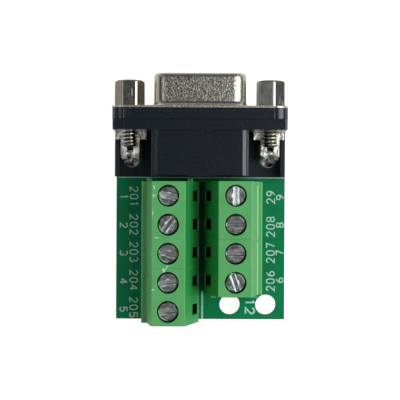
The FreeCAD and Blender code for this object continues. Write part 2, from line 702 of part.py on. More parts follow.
def bracket(label, side):
    """Folded sheet: an upright plate behind the front wall, a strap, and a forked board lock."""
    body = new_body(label)
    plate_face = block_rear + cell.sheet
    strap_top = board_top + cell.strap_level
    strap_under = strap_top - cell.sheet
    leg_rear = lock_row - cell.sheet / 2
    leg_front = lock_row + cell.sheet / 2
    leg_tip = board_bottom - cell.lock_reach
    fold = [
        (plate_face, cell.bracket_rise),
        (plate_face, strap_under),
        (leg_front, strap_under),
        (leg_front, leg_tip),
        (leg_rear, leg_tip),
        (leg_rear, strap_top),
        (block_rear, strap_top),
        (block_rear, cell.bracket_rise),
    ]
    wing = sorted_pair(cell.wing_outer * side, -cell.wing_inner * side)
    pad(body, "YZ", wing[0], wing[1], [fold])
    finish_edges(body, "Fillet", straight("x", y=[plate_face], z=[strap_under]), cell.plate_bend)
    finish_edges(body, "Fillet", straight("x", y=[leg_rear], z=[strap_top]), cell.strap_bend)
    finish_edges(body, "Fillet", straight("x", y=[block_rear], z=[strap_top]), cell.inner_bend)
    finish_edges(body, "Fillet", straight("x", y=[leg_front], z=[strap_under]), cell.inner_bend)
    below = leg_tip - OVERCUT
    above = strap_top + OVERCUT
    wing_rear = block_rear - cell.wing_reach
    strap_half = cell.strap_width / 2
    behind = leg_rear - OVERCUT
    pocket(body, "XY", below, above, [
        rectangle(wing[0] - OVERCUT, -strap_half, behind, wing_rear),
        rectangle(strap_half, wing[1] + OVERCUT, behind, wing_rear),
    ])
    slot_front = block_rear - cell.slot_behind
    slot_rear = slot_front - cell.slot_long
    slit = cell.lock_slit / 2
    pocket(body, "XY", below, above, [
        rectangle(-slit, slit, slot_rear, slot_front),
        rectangle(-slit, slit, behind, slot_rear - cell.slot_bar),
    ])
    neck = board_top + cell.lock_neck
    lock_half = cell.lock_width / 2
    pocket(body, "XZ", behind, leg_front + OVERCUT, [
        rectangle(-strap_half - OVERCUT, -lock_half, below, neck),
        rectangle(lock_half, strap_half + OVERCUT, below, neck),
    ])
    threaded = cell.jack_shank_dia / 2 + cell.jack_tap_gap
    pocket(body, "XZ", block_rear - OVERCUT, plate_face + OVERCUT, circles=[(0, 0, threaded)])
    place(body, jack_side * side, 0, 0)


def jackscrew(label, side, turn):
    """Hexagonal standoff with a threaded hole in front and a threaded shank behind."""
    body = new_body(label)
    corner = cell.hex_flats / 2 / HEX_COSINE
    outline = []
    for index in range(6):
        angle = math.radians(60 * index)
        outline.append((corner * math.cos(angle), corner * math.sin(angle)))
    pad(body, "XZ", 0, cell.hex_reach, [outline])
    finish_edges(body, "Fillet", straight("y", y=[cell.hex_reach / 2]), cell.hex_edge)
    bevel = cell.hex_bevel
    rim = corner + OVERCUT
    revolve(body, "YZ", "Y_Axis", [
        (cell.hex_reach, cell.hex_flats / 2 - bevel / 2),
        (cell.hex_reach + OVERCUT, cell.hex_flats / 2 - bevel / 2),
        (cell.hex_reach + OVERCUT, rim),
        (cell.hex_reach - bevel - OVERCUT, rim),
        (cell.hex_reach - bevel, corner),
    ], "PartDesign::Groove")
    pad(body, "XZ", shank_end, 0, circles=[(0, 0, cell.jack_shank_dia / 2)])
    pocket(body, "XZ", cell.jack_web, cell.hex_reach + OVERCUT, circles=[(0, 0, cell.jack_tap_dia / 2)])
    end = level_ring("y", shank_end, cell.jack_shank_dia)
    finish_edges(body, "Chamfer", end, cell.jack_shank_bevel)
    place(body, jack_side * side, 0, 0, turn, (0, 1, 0))


def key_outline(middle, start, gap):
    """Plan of a dovetail key, or of its groove with a gap, pointing along -Y from a start."""
    start = as_size(start)
    root = cell.key_root / 2 + gap
    tip = cell.key_tip / 2 + gap
    end = start - cell.key_proud - gap
    return [(middle - root, start), (middle - tip, end), (middle + tip, end), (middle + root, start)]


def terminal_housing(label, count, across, along, turn):
    """A row of terminal cells. Local X runs from the rear to the wire side, Y along the row."""
    body = new_body(label)
    depth = cell.case_depth
    high = cell.case_height
    crease = depth - cell.case_lip
    top_end = crease - cell.case_lean_run
    length = cell.pitch * count
    profile = [
        (0, 0),
        (0, cell.case_slope_from),
        (cell.case_slope_run, high),
        (top_end, high),
        (crease, cell.case_lip_height),
        (depth - cell.case_lip_bevel, cell.case_lip_height),
        (depth, cell.case_lip_height - cell.case_lip_bevel),
        (depth, 0),
    ]
    pad(body, "XZ", 0, length, [profile])
    finish_edges(body, "Fillet", straight("y", x=[cell.case_slope_run, top_end], z=[high]), cell.case_edge)
    keys = [cell.key_from_rear, depth - cell.key_from_wire_side]
    pad(body, "XY", 0, cell.case_lip_height, [key_outline(middle, 0, as_size(0)) for middle in keys])
    groove_top = cell.case_lip_height + cell.key_gap
    pocket(body, "XY", -OVERCUT, groove_top, [key_outline(middle, length, cell.key_gap) for middle in keys])

    axis = cell.axis_from_rear
    middle = cell.pitch / 2
    cell_depth = cell.cage_depth / 2 + cell.cage_gap * 2
    cell_half = cell.cell_width / 2
    cell_end = axis + cell_depth
    strip_half = cell.strip_width / 2 + cell.strip_gap
    entry_half = cell.entry_width / 2
    entry_top = cell.entry_sill + cell.entry_height
    lead = cell.entry_bevel
    peep_half = cell.peep_width / 2
    peep_top = cell.peep_sill + cell.peep_height
    cuts = [
        pocket(body, "XY", -OVERCUT, cell.cell_top,
               [rectangle(axis - cell_depth, cell_end, middle - cell_half, middle + cell_half)]),
        pocket(body, "XY", -OVERCUT, cell.strip_level + cell.strip_gap,
               [rectangle(cell.strip_from_rear - cell.strip_gap, axis, middle - strip_half, middle + strip_half)]),
        pocket(body, "XY", cell.screw_seat, high + OVERCUT, circles=[(axis, middle, cell.head_hole_dia / 2)]),
        pocket(body, "XY", cell.cell_top - OVERCUT, high, circles=[(axis, middle, cell.neck_hole_dia / 2)]),
        pocket(body, "YZ", axis, depth + OVERCUT,
               [rectangle(middle - entry_half, middle + entry_half, cell.entry_sill, entry_top)]),
        pocket(body, "YZ", depth - lead, depth + OVERCUT,
               [rectangle(middle - entry_half - lead, middle + entry_half + lead,
                          cell.entry_sill - lead, entry_top + lead)]),
        pocket(body, "YZ", -OVERCUT, axis,
               [rectangle(middle - peep_half, middle + peep_half, cell.peep_sill, peep_top)]),
        pocket(body, "XY", -OVERCUT, cell.peep_sill + cell.strip_gap,
               [rectangle(cell.peep_wall, cell.strip_from_rear, middle - peep_half, middle + peep_half)]),
    ]
    repeat(body, cuts, "Y_Axis", cell.pitch * (count - 1), count)
    place(body, across, along, board_top, turn)


def clamp_screw(number):
    """Slotted cheese-head screw. Local Z is its axis, from the board's top face."""
    body = new_body(f"clamp_screw_{number}")
    seat = cell.screw_seat
    top = seat + cell.head_high
    tip = seat - cell.shank_long
    head = cell.head_dia / 2
    shank = cell.shank_dia / 2
    revolve(body, "XZ", "Z_Axis", [
        (0, tip),
        (shank - cell.shank_bevel, tip),
        (shank, tip + cell.shank_bevel),
        (shank, seat),
        (head, seat),
        (head, top - cell.head_bevel),
        (head - cell.head_bevel, top),
        (0, top),
    ])
    half = cell.driver_slot / 2
    pocket(body, "YZ", -head - OVERCUT, head + OVERCUT,
           [rectangle(-half, half, top - cell.driver_slot_deep, top + OVERCUT)])
    across, along, _ = terminal_place(number)
    place(body, across, along, board_top, getattr(cell, f"slot_turn_{number}"))


def wire_cage(number):
    """Box frame that rises on its screw: open along the wire, threaded through its roof."""
    body = new_body(f"wire_cage_{number}")
    half_depth = cell.cage_depth / 2
    half_width = cell.cage_width / 2
    low = cell.cage_rest
    high = low + cell.cage_high
    pad(body, "YZ", -half_depth, half_depth, [rectangle(-half_width, half_width, low, high)])
    inside = half_width - cell.cage_side
    pocket(body, "YZ", -half_depth - OVERCUT, half_depth + OVERCUT,
           [rectangle(-inside, inside, low + cell.cage_base, high - cell.cage_roof)])
    pocket(body, "XY", high - cell.cage_roof - OVERCUT, high + OVERCUT,
           circles=[(0, 0, cell.shank_dia / 2 + cell.thread_gap)])
    place(body, *terminal_place(number)[:2], board_top, terminal_place(number)[2])


def solder_strip(number):
    """Fixed upper jaw and solder pin in one bent strip. Local X points to the wire side."""
    body = new_body(f"solder_strip_{number}")
    rear = -cell.strip_behind
    front = cell.strip_past
    under = cell.strip_level - cell.strip_thick
    inner = rear + cell.strip_thick
    fold = [
        (rear, 0),
        (rear, cell.strip_level),
        (front, cell.strip_level),
        (front, under),
        (inner, under),
        (inner, 0),
    ]
    half = cell.strip_width / 2
    pad(body, "XZ", -half, half, [fold])
    finish_edges(body, "Fillet", straight("y", x=[rear], z=[cell.strip_level]), cell.strip_bend)
    finish_edges(body, "Fillet", straight("y", x=[inner], z=[under]), cell.strip_bend - cell.strip_thick)
    pin_half = cell.pin_width / 2
    pad(body, "XY", -cell.board_thick - cell.pin_reach, 0, [rectangle(rear, inner, -pin_half, pin_half)])
    place(body, *terminal_place(number)[:2], board_top, terminal_place(number)[2])


def solder_joint(name, across, along, foot, tip, legs):
    """A cone of solder under the board, round one or more legs given as boxes in plan."""
    cone = doc.addObject("Part::Cone", f"{name}_cone")
    bind(cone, "Radius1", tip)
    bind(cone, "Radius2", foot)
    bind(cone, "Height", cell.solder_high)
    place(cone, across, along, board_bottom - cell.solder_high)
    joint = cone
    for index, (offset, wide, deep) in enumerate(legs):
        leg = doc.addObject("Part::Box", f"{name}_leg_{index}")
        bind(leg, "Length", wide)
        bind(leg, "Width", deep)
        bind(leg, "Height", cell.solder_high + OVERCUT * 2)
        place(leg, across + offset - as_size(wide) / 2, along - as_size(deep) / 2,
              board_bottom - cell.solder_high - OVERCUT)
        cut = doc.addObject("Part::Cut", f"{name}_{index}")
        cut.Base = joint
        cut.Tool = leg
        joint = cut
    return joint


def solder_group(label, joints):
    group = doc.addObject("Part::Compound", label)
    group.Label = label
    group.Links = joints
    nodes.append(group)


def solder():
    """One node for each kind of joint under the board."""
    joints = []
    for number in range(1, 10):
        foot = cell.pin_hole_dia / 2 + cell.solder_base
        legs = [(as_size(0), cell.strip_thick, cell.pin_width)]
        joints.append(solder_joint(f"pin_{number}", *pin_place(number), foot, cell.solder_tip, legs))
    solder_group("terminal_solder", joints)
    joints = []
    for number, across, row in contacts:
        foot = cell.tail_hole_dia / 2 + cell.solder_base / 2
        legs = [(as_size(0), cell.tail_wide, cell.tail_wide)]
        joints.append(solder_joint(f"tail_{number}", across, tail_place(row), foot, cell.solder_tip, legs))
    solder_group("socket_solder", joints)
    joints = []
    leg = cell.lock_width / 2 - cell.lock_slit / 2
    aside = (cell.lock_width / 2 + cell.lock_slit / 2) / 2
    for side in (-1, 1):
        foot = cell.lock_hole_dia / 2 + cell.solder_base
        tip = cell.lock_width / 2 + cell.solder_base / 2
        legs = [(aside, leg, cell.sheet), (-aside, leg, cell.sheet)]
        joints.append(solder_joint(f"lock_{side + 2}", jack_side * side, lock_row, foot, tip, legs))
    solder_group("lock_solder", joints)


circuit_board()
front_shell()
socket_insulator()
rear_housing()
for number, across, row in contacts:
    socket_contact(number, across, row)
bracket("bracket_left", -1)
bracket("bracket_right", 1)
jackscrew("jackscrew_left", -1, cell.hex_turn_left)
jackscrew("jackscrew_right", 1, cell.hex_turn_right)
left_rear = cell.board_shift - cell.left_offset
right_rear = cell.board_shift + cell.right_offset
terminal_housing("terminal_housing_a", 3, left_rear, left_front, 180)
terminal_housing("terminal_housing_b", 2, left_rear, left_front - cell.pitch * 3, 180)
terminal_housing("terminal_housing_c", 2, right_rear, right_front - cell.pitch * 2, 0)
terminal_housing("terminal_housing_d", 2, right_rear, right_front - cell.pitch * 4, 0)
for number in range(1, 10):
    clamp_screw(number)
    wire_cage(number)
    solder_strip(number)
solder()
doc.recompute()

for thing in doc.Objects:
    if "Invalid" in thing.State or "Error" in thing.State:
        raise RuntimeError(f"{thing.Label} failed: {thing.State}")
os.makedirs("parts", exist_ok=True)
for node in nodes:
    shape = node.Shape
    if shape.isNull() or not shape.isValid():
        raise RuntimeError(f"{node.Label} has no sound shape")
    shape.exportStep(f"parts/{node.Label}.step")
    print(node.Label, len(shape.Solids), round(shape.Volume, 3))
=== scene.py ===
# %% [markdown]
# # D-sub terminal block adapter
#
# A nine-way D-sub socket sits on the front of a small green circuit board.
# Behind it two rows of green screw terminals stand back to back, five on the left and four on the right.
# Each socket contact is wired through the board to one terminal, so that nine loose wires can be clamped
# where a moulded cable would otherwise be needed.
#
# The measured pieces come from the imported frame. This script gives them their finishes and adds what is
# too fine for the frame: threads, printed legend, tinned pads and solder that has flowed.

import math
from functools import partial

import bpy
import numpy as np
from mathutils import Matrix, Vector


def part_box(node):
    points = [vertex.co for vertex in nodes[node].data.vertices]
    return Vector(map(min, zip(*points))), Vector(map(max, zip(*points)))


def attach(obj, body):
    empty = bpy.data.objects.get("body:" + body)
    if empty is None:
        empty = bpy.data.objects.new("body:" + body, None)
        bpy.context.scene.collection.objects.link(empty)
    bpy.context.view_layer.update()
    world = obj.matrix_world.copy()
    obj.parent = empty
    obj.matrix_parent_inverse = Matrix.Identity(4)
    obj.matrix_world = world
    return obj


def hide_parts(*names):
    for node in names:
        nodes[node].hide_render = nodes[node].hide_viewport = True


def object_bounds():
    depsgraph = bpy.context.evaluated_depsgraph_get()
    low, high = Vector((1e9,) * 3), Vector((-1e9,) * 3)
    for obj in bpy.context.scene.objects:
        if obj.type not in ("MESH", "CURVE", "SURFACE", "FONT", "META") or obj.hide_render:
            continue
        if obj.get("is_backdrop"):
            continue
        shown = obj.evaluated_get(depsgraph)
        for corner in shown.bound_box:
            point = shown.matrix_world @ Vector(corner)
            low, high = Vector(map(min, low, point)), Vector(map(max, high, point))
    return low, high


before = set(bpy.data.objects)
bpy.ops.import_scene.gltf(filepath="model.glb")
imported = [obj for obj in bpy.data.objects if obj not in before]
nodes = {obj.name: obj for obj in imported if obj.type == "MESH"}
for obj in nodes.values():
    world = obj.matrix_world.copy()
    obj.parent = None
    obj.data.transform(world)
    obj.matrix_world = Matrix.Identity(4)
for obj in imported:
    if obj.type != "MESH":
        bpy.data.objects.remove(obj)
low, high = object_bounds()
MM = 0.001
print(len(nodes), "pieces in the frame;", [round((b - a) * 1000, 2) for a, b in zip(low, high)], "mm")

# %% [markdown]
# ## Levels that the added pieces share with the frame
#
# The printed legend lies on the board, the solder hangs below it, and the jackscrews pass through the socket
# 24.99 mm apart, as on every nine-way D-sub. Reading the levels from the frame's own boxes keeps the added
# pieces in touch with it.

# %% Read levels from the frame
board_low, board_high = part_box("circuit_board")
BOARD_TOP = board_high[2] / MM
BOARD_BOTTOM = board_low[2] / MM
PIN_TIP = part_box("solder_strip_1")[0][2] / MM
JACK_ACROSS = 24.99 / 2
print("board from", round(BOARD_BOTTOM, 3), "to", round(BOARD_TOP, 3), "mm")
print("pins end at", round(PIN_TIP, 3), "mm")

# %% [markdown]
# ## Shared shading effects
#
# The plastics and metals share a few effects: softened edges, fine grain, uneven tone and rubbed scratches.
# Each is a node group that hands on only a normal, a mask or a value, and the finish itself stays in the
# material. They could be copied into every material, but then a change would have to be made many times.


# %% Small helpers for node trees
def node(tree, kind, inputs=(), **settings):
    """A shader node with its settings made and its inputs set or linked."""
    made = tree.nodes.new("ShaderNode" + kind)
    for name, value in settings.items():
        setattr(made, name, value)
    for key, value in dict(inputs).items():
        if isinstance(value, bpy.types.NodeSocket):
            tree.links.new(value, made.inputs[key])
        else:
            made.inputs[key].default_value = value
    return made


def math_node(tree, operation, first, second=0.0, clamp=False):
    return node(tree, "Math", {0: first, 1: second}, operation=operation, use_clamp=clamp).outputs[0]


def vector_node(tree, operation, first, second=(0, 0, 0)):
    """A step of vector arithmetic. A dot product, a length and a distance give a plain number."""
    made = node(tree, "VectorMath", {0: first, 1: second}, operation=operation)
    return made.outputs["Value" if operation in ("DOT_PRODUCT", "LENGTH", "DISTANCE") else "Vector"]


def part_of(tree, vector, axis):
    """One part of a vector."""
    return node(tree, "SeparateXYZ", {0: vector}).outputs[axis]


def face_normal(tree):
    return node(tree, "NewGeometry").outputs["Normal"]


def remap(tree, value, low, high, to_low=0.0, to_high=1.0):
    """The value moved from one range to another, and held inside the new one."""
    made = node(tree, "MapRange", {"Value": value, "From Min": low, "From Max": high,
                                   "To Min": to_low, "To Max": to_high})
    return made.outputs["Result"]


def blend(tree, factor, first, second):
    """Two colours blended."""
    made = node(tree, "Mix", {0: factor, 6: first, 7: second}, data_type="RGBA")
    return made.outputs[2]


def place_texture(tree, shift=(0, 0, 0), turn=(0, 0, 0)):
    """Object coordinates in millimetres, turned and moved."""
    place = node(tree, "TexCoord").outputs["Object"]
    made = node(tree, "Mapping", {"Vector": place, "Location": shift, "Rotation": turn,
                                  "Scale": (1000, 1000, 1000)})
    return made.outputs["Vector"]


def new_group(name, inputs, outputs):
    """A node group with its sockets, and the two nodes that carry them."""
    tree = bpy.data.node_groups.new(name, "ShaderNodeTree")
    for title, kind, value in inputs:
        socket = tree.interface.new_socket(name=title, in_out="INPUT", socket_type="NodeSocket" + kind)
        if value is not None:
            socket.default_value = value
    for title, kind in outputs:
        tree.interface.new_socket(name=title, in_out="OUTPUT", socket_type="NodeSocket" + kind)
    return tree, tree.nodes.new("NodeGroupInput").outputs, tree.nodes.new("NodeGroupOutput").inputs


def use_group(tree, shared, **inputs):
    """A shared effect placed in a material."""
    made = tree.nodes.new("ShaderNodeGroup")
    made.node_tree = shared
    for name, value in inputs.items():
        if isinstance(value, bpy.types.NodeSocket):
            tree.links.new(value, made.inputs[name])
        else:
            made.inputs[name].default_value = value
    return made.outputs


def tell(tree):
    print(f"{tree.name}: {len(tree.nodes)} nodes")


# %% [markdown]
# ### Softened edges
#
# A moulded or bent edge always has a small radius, which catches the light as a thin line. A Bevel modifier
# would cut that radius into every mesh. The Bevel node turns only the normal near an edge, so the frame's
# pieces keep their measured form.

# %% Effect: softened edges
soft_edges, given, result = new_group("Soft edges", [("Radius", "Float", 0.00015)], [("Normal", "Vector")])
rounded = node(soft_edges, "Bevel", {"Radius": given["Radius"]}, samples=6).outputs["Normal"]
soft_edges.links.new(rounded, result["Normal"])
tell(soft_edges)

# %% [markdown]
# ### Grain and tone
#
# No moulded or plated surface is quite even. A fine noise as the height of a Bump node roughens it, and a slow
# one shifts its colour between two tones. Both could come from pictures, but noise is worked out in space, so
# it needs no unwrapping and has no seams.

# %% Effect: fine grain in a moulded or plated surface
grain, given, result = new_group(
    "Fine grain",
    [("Vector", "Vector", None), ("Scale", "Float", 6.0), ("Depth", "Float", 0.00001),
     ("Strength", "Float", 0.5), ("Normal", "Vector", None)],
    [("Normal", "Vector"), ("Height", "Float")])
noise = node(grain, "TexNoise", {"Vector": given["Vector"], "Scale": given["Scale"], "Detail": 3.0,
                                 "Roughness": 0.6}).outputs["Fac"]
bump = node(grain, "Bump", {"Strength": given["Strength"], "Distance": given["Depth"], "Height": noise,
                            "Normal": given["Normal"]})
grain.links.new(bump.outputs["Normal"], result["Normal"])
grain.links.new(noise, result["Height"])
tell(grain)

# %% Effect: slow changes of tone over a surface
# Spread is the part of the noise that the tone runs over, so a small one gives patches with hard edges.
tone, given, result = new_group(
    "Uneven tone", [("Vector", "Vector", None), ("Scale", "Float", 0.5), ("Spread", "Float", 0.5)],
    [("Tone", "Float")])
noise = node(tone, "TexNoise", {"Vector": given["Vector"], "Scale": given["Scale"], "Detail": 4.0,
                                "Roughness": 0.55}).outputs["Fac"]
half = math_node(tone, "MULTIPLY", given["Spread"], 0.25)
darkest = math_node(tone, "SUBTRACT", 0.5, half)
lightest = math_node(tone, "ADD", 0.5, half)
tone.links.new(remap(tone, noise, darkest, lightest), result["Tone"])
tell(tone)

# %% [markdown]
# ### Scratches and scuffs
#
# Screwdrivers and loose parts in the same box rub these surfaces. Many fine scratches at once are a noise that
# is stretched along one axis and cut off near its top. A scuff in one certain place is a mask round the line
# between two points, because no noise would put it just there.

# %% Effect: short rubbed scratches along the texture's first axis
scratches, given, result = new_group(
    "Rubbed scratches",
    [("Vector", "Vector", None), ("Scale", "Float", 1.0), ("Share", "Float", 0.3)], [("Mask", "Float")])
stretched = node(scratches, "Mapping", {"Vector": given["Vector"], "Scale": (0.35, 4.0, 4.0)}).outputs["Vector"]
lines = node(scratches, "TexNoise", {"Vector": stretched, "Scale": given["Scale"], "Detail": 2.0,
                                     "Roughness": 0.7}).outputs["Fac"]
coarser = math_node(scratches, "MULTIPLY", given["Scale"], 0.7)
patches = node(scratches, "TexNoise", {"Vector": given["Vector"], "Scale": coarser,
                                       "Detail": 2.0}).outputs["Fac"]
start = math_node(scratches, "SUBTRACT", 0.72, math_node(scratches, "MULTIPLY", given["Share"], 0.3))
sharp = remap(scratches, lines, start, math_node(scratches, "ADD", start, 0.06))
where = remap(scratches, patches, 0.42, 0.58)
scratches.links.new(math_node(scratches, "MULTIPLY", sharp, where), result["Mask"])
tell(scratches)

# %% Effect: one scratch, as a mask round the line between two places in plan
scuff, given, result = new_group(
    "Single scuff",
    [("Vector", "Vector", None), ("From", "Vector", None), ("To", "Vector", None), ("Width", "Float", 0.1)],
    [("Mask", "Float")])
level = vector_node(scuff, "MULTIPLY", given["Vector"], (1, 1, 0))
aside = vector_node(scuff, "SUBTRACT", level, given["From"])
whole = vector_node(scuff, "SUBTRACT", given["To"], given["From"])
along = vector_node(scuff, "DOT_PRODUCT", aside, whole)
share = math_node(scuff, "DIVIDE", along, vector_node(scuff, "DOT_PRODUCT", whole, whole), clamp=True)
nearest = node(scuff, "VectorMath", {0: whole, "Scale": share}, operation="SCALE").outputs[0]
apart = vector_node(scuff, "DISTANCE", aside, nearest)
reach = math_node(scuff, "DIVIDE", apart, given["Width"])
scuff.links.new(remap(scuff, reach, 1.3, 0.7), result["Mask"])
tell(scuff)

# %% [markdown]
# ## Finishes
#
# The colours are the ones of the real stock, and each finish is one Principled shader. A finish could be
# painted on a picture, but a pattern that is worked out stays sharp from close by and needs no unwrapping.
# Places on a finish are millimetres in the frame, because every piece keeps its place in its mesh.


# %% Make a finish, and give it to the frame's pieces
def new_finish(name):
    """A material with an empty Principled shader."""
    material = bpy.data.materials.new(name)
    material.use_nodes = True
    tree = material.node_tree
    tree.nodes.clear()
    shader = node(tree, "BsdfPrincipled")
    node(tree, "OutputMaterial", {"Surface": shader.outputs["BSDF"]})
    return material, tree, shader.inputs


def finish_nodes(material, *starts):
    """Put a finish on the slots of every frame node whose name starts so."""
    chosen = [thing for name, thing in nodes.items() if name.startswith(starts)]
    for thing in chosen:
        for place in thing.material_slots:
            place.material = material
    print(f"{material.name}: {len(material.node_tree.nodes)} nodes; pieces: {len(chosen)}")


# %% [markdown]
# ### Circuit board
#
# The board is glass fibre under a glossy green mask, and its sawn edges show the bare, yellowish laminate. Two
# materials could divide its faces. One material that tells the edges by their level normal does the same, and
# no faces have to be picked on the frame's mesh.

# %% Green solder mask, and bare laminate at the edges
board_finish, tree, shader = new_finish("green solder mask")
place = place_texture(tree)
soft = use_group(tree, soft_edges, Radius=0.00008)
faces = remap(tree, math_node(tree, "ABSOLUTE", part_of(tree, face_normal(tree), "Z")), 0.6, 0.8)
mottle = use_group(tree, tone, Vector=place, Scale=0.35, Spread=0.8)["Tone"]
mask_green = blend(tree, mottle, (0.0, 0.185, 0.062, 1), (0.0, 0.225, 0.082, 1))
laminate = (0.30, 0.29, 0.17, 1)
tree.links.new(blend(tree, faces, laminate, mask_green), shader["Base Color"])
tree.links.new(remap(tree, faces, 0, 1, 0.75, 0.28), shader["Roughness"])
weave = use_group(tree, grain, Vector=place, Scale=1.6, Depth=0.00002, Strength=0.12, Normal=soft["Normal"])
tree.links.new(weave["Normal"], shader["Normal"])
shader["IOR"].default_value = 1.25
finish_nodes(board_finish, "circuit_board")

# %% [markdown]
# ### Front shell
#
# The shell is nickel-plated steel sheet. Where the sheet was drawn out into the D sleeve, the plate has come
# out speckled like orange peel. Where the flat top bends down, a dark line is painted reflection, and the plain,
# yellower rim beyond it is painted pale reflection. The peel is too fine to model, so one noise gives both its
# height and its speckles. Line and rim follow the distance from a rounded rectangle, which is simpler than a
# mask painted on the sleeve.

# %% Orange-peel nickel, with a painted dark reflection round the sleeve's flat top and a painted pale rim
SLEEVE_MIDDLE = (0.19, 3.02, 0)
SLEEVE_HALF = (6.34, 1.5, 0)
SLEEVE_CORNER = 0.8
shell_finish, tree, shader = new_finish("orange-peel nickel")
place = place_texture(tree)
soft = use_group(tree, soft_edges, Radius=0.0002)
peel = use_group(tree, grain, Vector=place, Scale=3.9, Depth=0.00006, Strength=0.8, Normal=soft["Normal"])
mottle = use_group(tree, tone, Vector=place, Scale=0.4, Spread=0.8)["Tone"]
speckled = blend(tree, remap(tree, peel["Height"], 0.36, 0.64), (0.17, 0.165, 0.145, 1), (0.56, 0.545, 0.48, 1))
centred = vector_node(tree, "SUBTRACT", place, SLEEVE_MIDDLE)
beyond = vector_node(tree, "SUBTRACT", vector_node(tree, "ABSOLUTE", centred), SLEEVE_HALF)
beyond = vector_node(tree, "MAXIMUM", beyond)
beyond = vector_node(tree, "LENGTH", vector_node(tree, "MULTIPLY", beyond, (1, 1, 0)))
outside = math_node(tree, "SUBTRACT", beyond, SLEEVE_CORNER)
# A painted pale reflection on the rim beyond the flat top, and a painted dark reflection where the top bends
# down.
painted_pale_rim = remap(tree, outside, 0.08, 0.2)
painted_dark_line = remap(tree, math_node(tree, "ABSOLUTE", outside), 0.26, 0.1, 0, 0.7)
colour = blend(tree, painted_pale_rim, speckled, (0.58, 0.55, 0.45, 1))
colour = blend(tree, painted_dark_line, colour, (0.10, 0.095, 0.075, 1))
tree.links.new(colour, shader["Base Color"])
tree.links.new(remap(tree, mottle, 0, 1, 0.12, 0.2), shader["Roughness"])
tree.links.new(peel["Normal"], shader["Normal"])
shader["Metallic"].default_value = 1.0
finish_nodes(shell_finish, "front_shell")

# %% [markdown]
# ### Insulator and rear housing
#
# Both are black polyester filled with glass fibre, and some fibre ends lie in the surface as pale specks. Noise
# would spread them as a haze. A Voronoi texture gives each of its cells one dot and one random number, by which
# most dots are left out. The mould has polished the outside and left the jackscrews' wells matt, which a height
# tells apart.


# %% Black glass-filled polyester
def black_plastic(name, base, matt_below):
    """Black plastic with pale glass specks, polished above a height in millimetres and matt below it."""
    material, tree, shader = new_finish(name)
    place = place_texture(tree)
    soft = use_group(tree, soft_edges, Radius=0.00018)
    texture = use_group(tree, grain, Vector=place, Scale=5.0, Depth=0.00003, Strength=0.4,
                        Normal=soft["Normal"])
    specks = node(tree, "TexVoronoi", {"Vector": place, "Scale": 2.2}).outputs
    chance = remap(tree, part_of(tree, specks["Color"], "X"), 0.70, 0.95, 0, 0.6)
    mask = math_node(tree, "MULTIPLY", remap(tree, specks["Distance"], 0.22, 0.1), chance)
    tree.links.new(blend(tree, mask, base, (0.10, 0.115, 0.13, 1)), shader["Base Color"])
    tree.links.new(texture["Normal"], shader["Normal"])
    rough = remap(tree, part_of(tree, place, "Z"), matt_below - 0.2, matt_below, 0.8, 0.21)
    tree.links.new(rough, shader["Roughness"])
    shader["IOR"].default_value = 1.54
    return material


WELLS_BELOW = 3.0
UNDER_ALL = -9.0  # lower than the whole insulator, so that it is polished all over
finish_nodes(black_plastic("black insulator", (0.002, 0.007, 0.014, 1), UNDER_ALL), "socket_insulator")
finish_nodes(black_plastic("black housing", (0.001, 0.006, 0.013, 1), WELLS_BELOW), "rear_housing")

# %% [markdown]
# ### Plated metals
#
# Brackets, wire cages, solder strips, contacts and solder all shine through a thin metal skin. Each could have a
# material of its own making, but they differ only in colour, sheen, dents and scratches, so one function makes
# them from those values. The brackets' tin has run into broad bright and dull patches.


# %% Plated metals: each with its own colour, sheen and wear
def plated(name, dark, light, sheen, dent=0.00004, dent_scale=1.0, spread=0.9, lines=None, turn=(0, 0, 0),
           shift=(0, 0, 0), edge=0.00012, wear=None):
    """A plated metal. dent is the depth of its dents in metres, lines the scratches' scale, their share of the
    surface and their strength, and wear a function that adds more to the colour and the roughness: wear marks and
    painted light."""
    material, tree, shader = new_finish(name)
    place = place_texture(tree, shift=shift, turn=turn)
    soft = use_group(tree, soft_edges, Radius=edge)
    mottle = use_group(tree, tone, Vector=place, Scale=dent_scale, Spread=spread)["Tone"]
    normal = use_group(tree, grain, Vector=place, Scale=dent_scale, Depth=dent, Strength=0.5,
                       Normal=soft["Normal"])["Normal"]
    colour = blend(tree, mottle, dark, light)
    rough = remap(tree, mottle, 0, 1, *sheen)
    if lines:
        scale, share, strength = lines
        rubbed = use_group(tree, scratches, Vector=place, Scale=scale, Share=share)["Mask"]
        colour = blend(tree, math_node(tree, "MULTIPLY", rubbed, strength), colour, (0.8, 0.8, 0.79, 1))
        normal = node(tree, "Bump", {"Strength": 0.6, "Distance": 0.00003, "Height": rubbed, "Normal": normal},
                      invert=True).outputs["Normal"]
    if wear:
        colour, rough = wear(tree, colour, rough)
    tree.links.new(colour, shader["Base Color"])
    tree.links.new(rough, shader["Roughness"])
    tree.links.new(normal, shader["Normal"])
    shader["Metallic"].default_value = 1.0
    return material


tin = plated("bright tin", (0.34, 0.33, 0.29, 1), (1.0, 0.99, 0.95, 1), (0.2, 0.4), dent=0.0006,
             dent_scale=1.1, spread=0.45, lines=(1.5, 0.3, 0.5), edge=0.0004)
cage_metal = plated("zinc on bent steel", (0.40, 0.39, 0.38, 1), (0.56, 0.55, 0.54, 1), (0.3, 0.45))
strip_metal = plated("tin on bent brass", (0.55, 0.53, 0.48, 1), (0.70, 0.68, 0.63, 1), (0.25, 0.4))
gold = plated("gold flash", (0.72, 0.50, 0.20, 1), (0.90, 0.68, 0.32, 1), (0.15, 0.25))
solder_metal = plated("flowed solder", (0.50, 0.50, 0.49, 1), (0.66, 0.66, 0.65, 1), (0.15, 0.35))
finish_nodes(tin, "bracket_")
finish_nodes(cage_metal, "wire_cage_")
finish_nodes(strip_metal, "solder_strip_")
finish_nodes(gold, "socket_contact_")
finish_nodes(solder_metal, "terminal_solder", "socket_solder", "lock_solder")
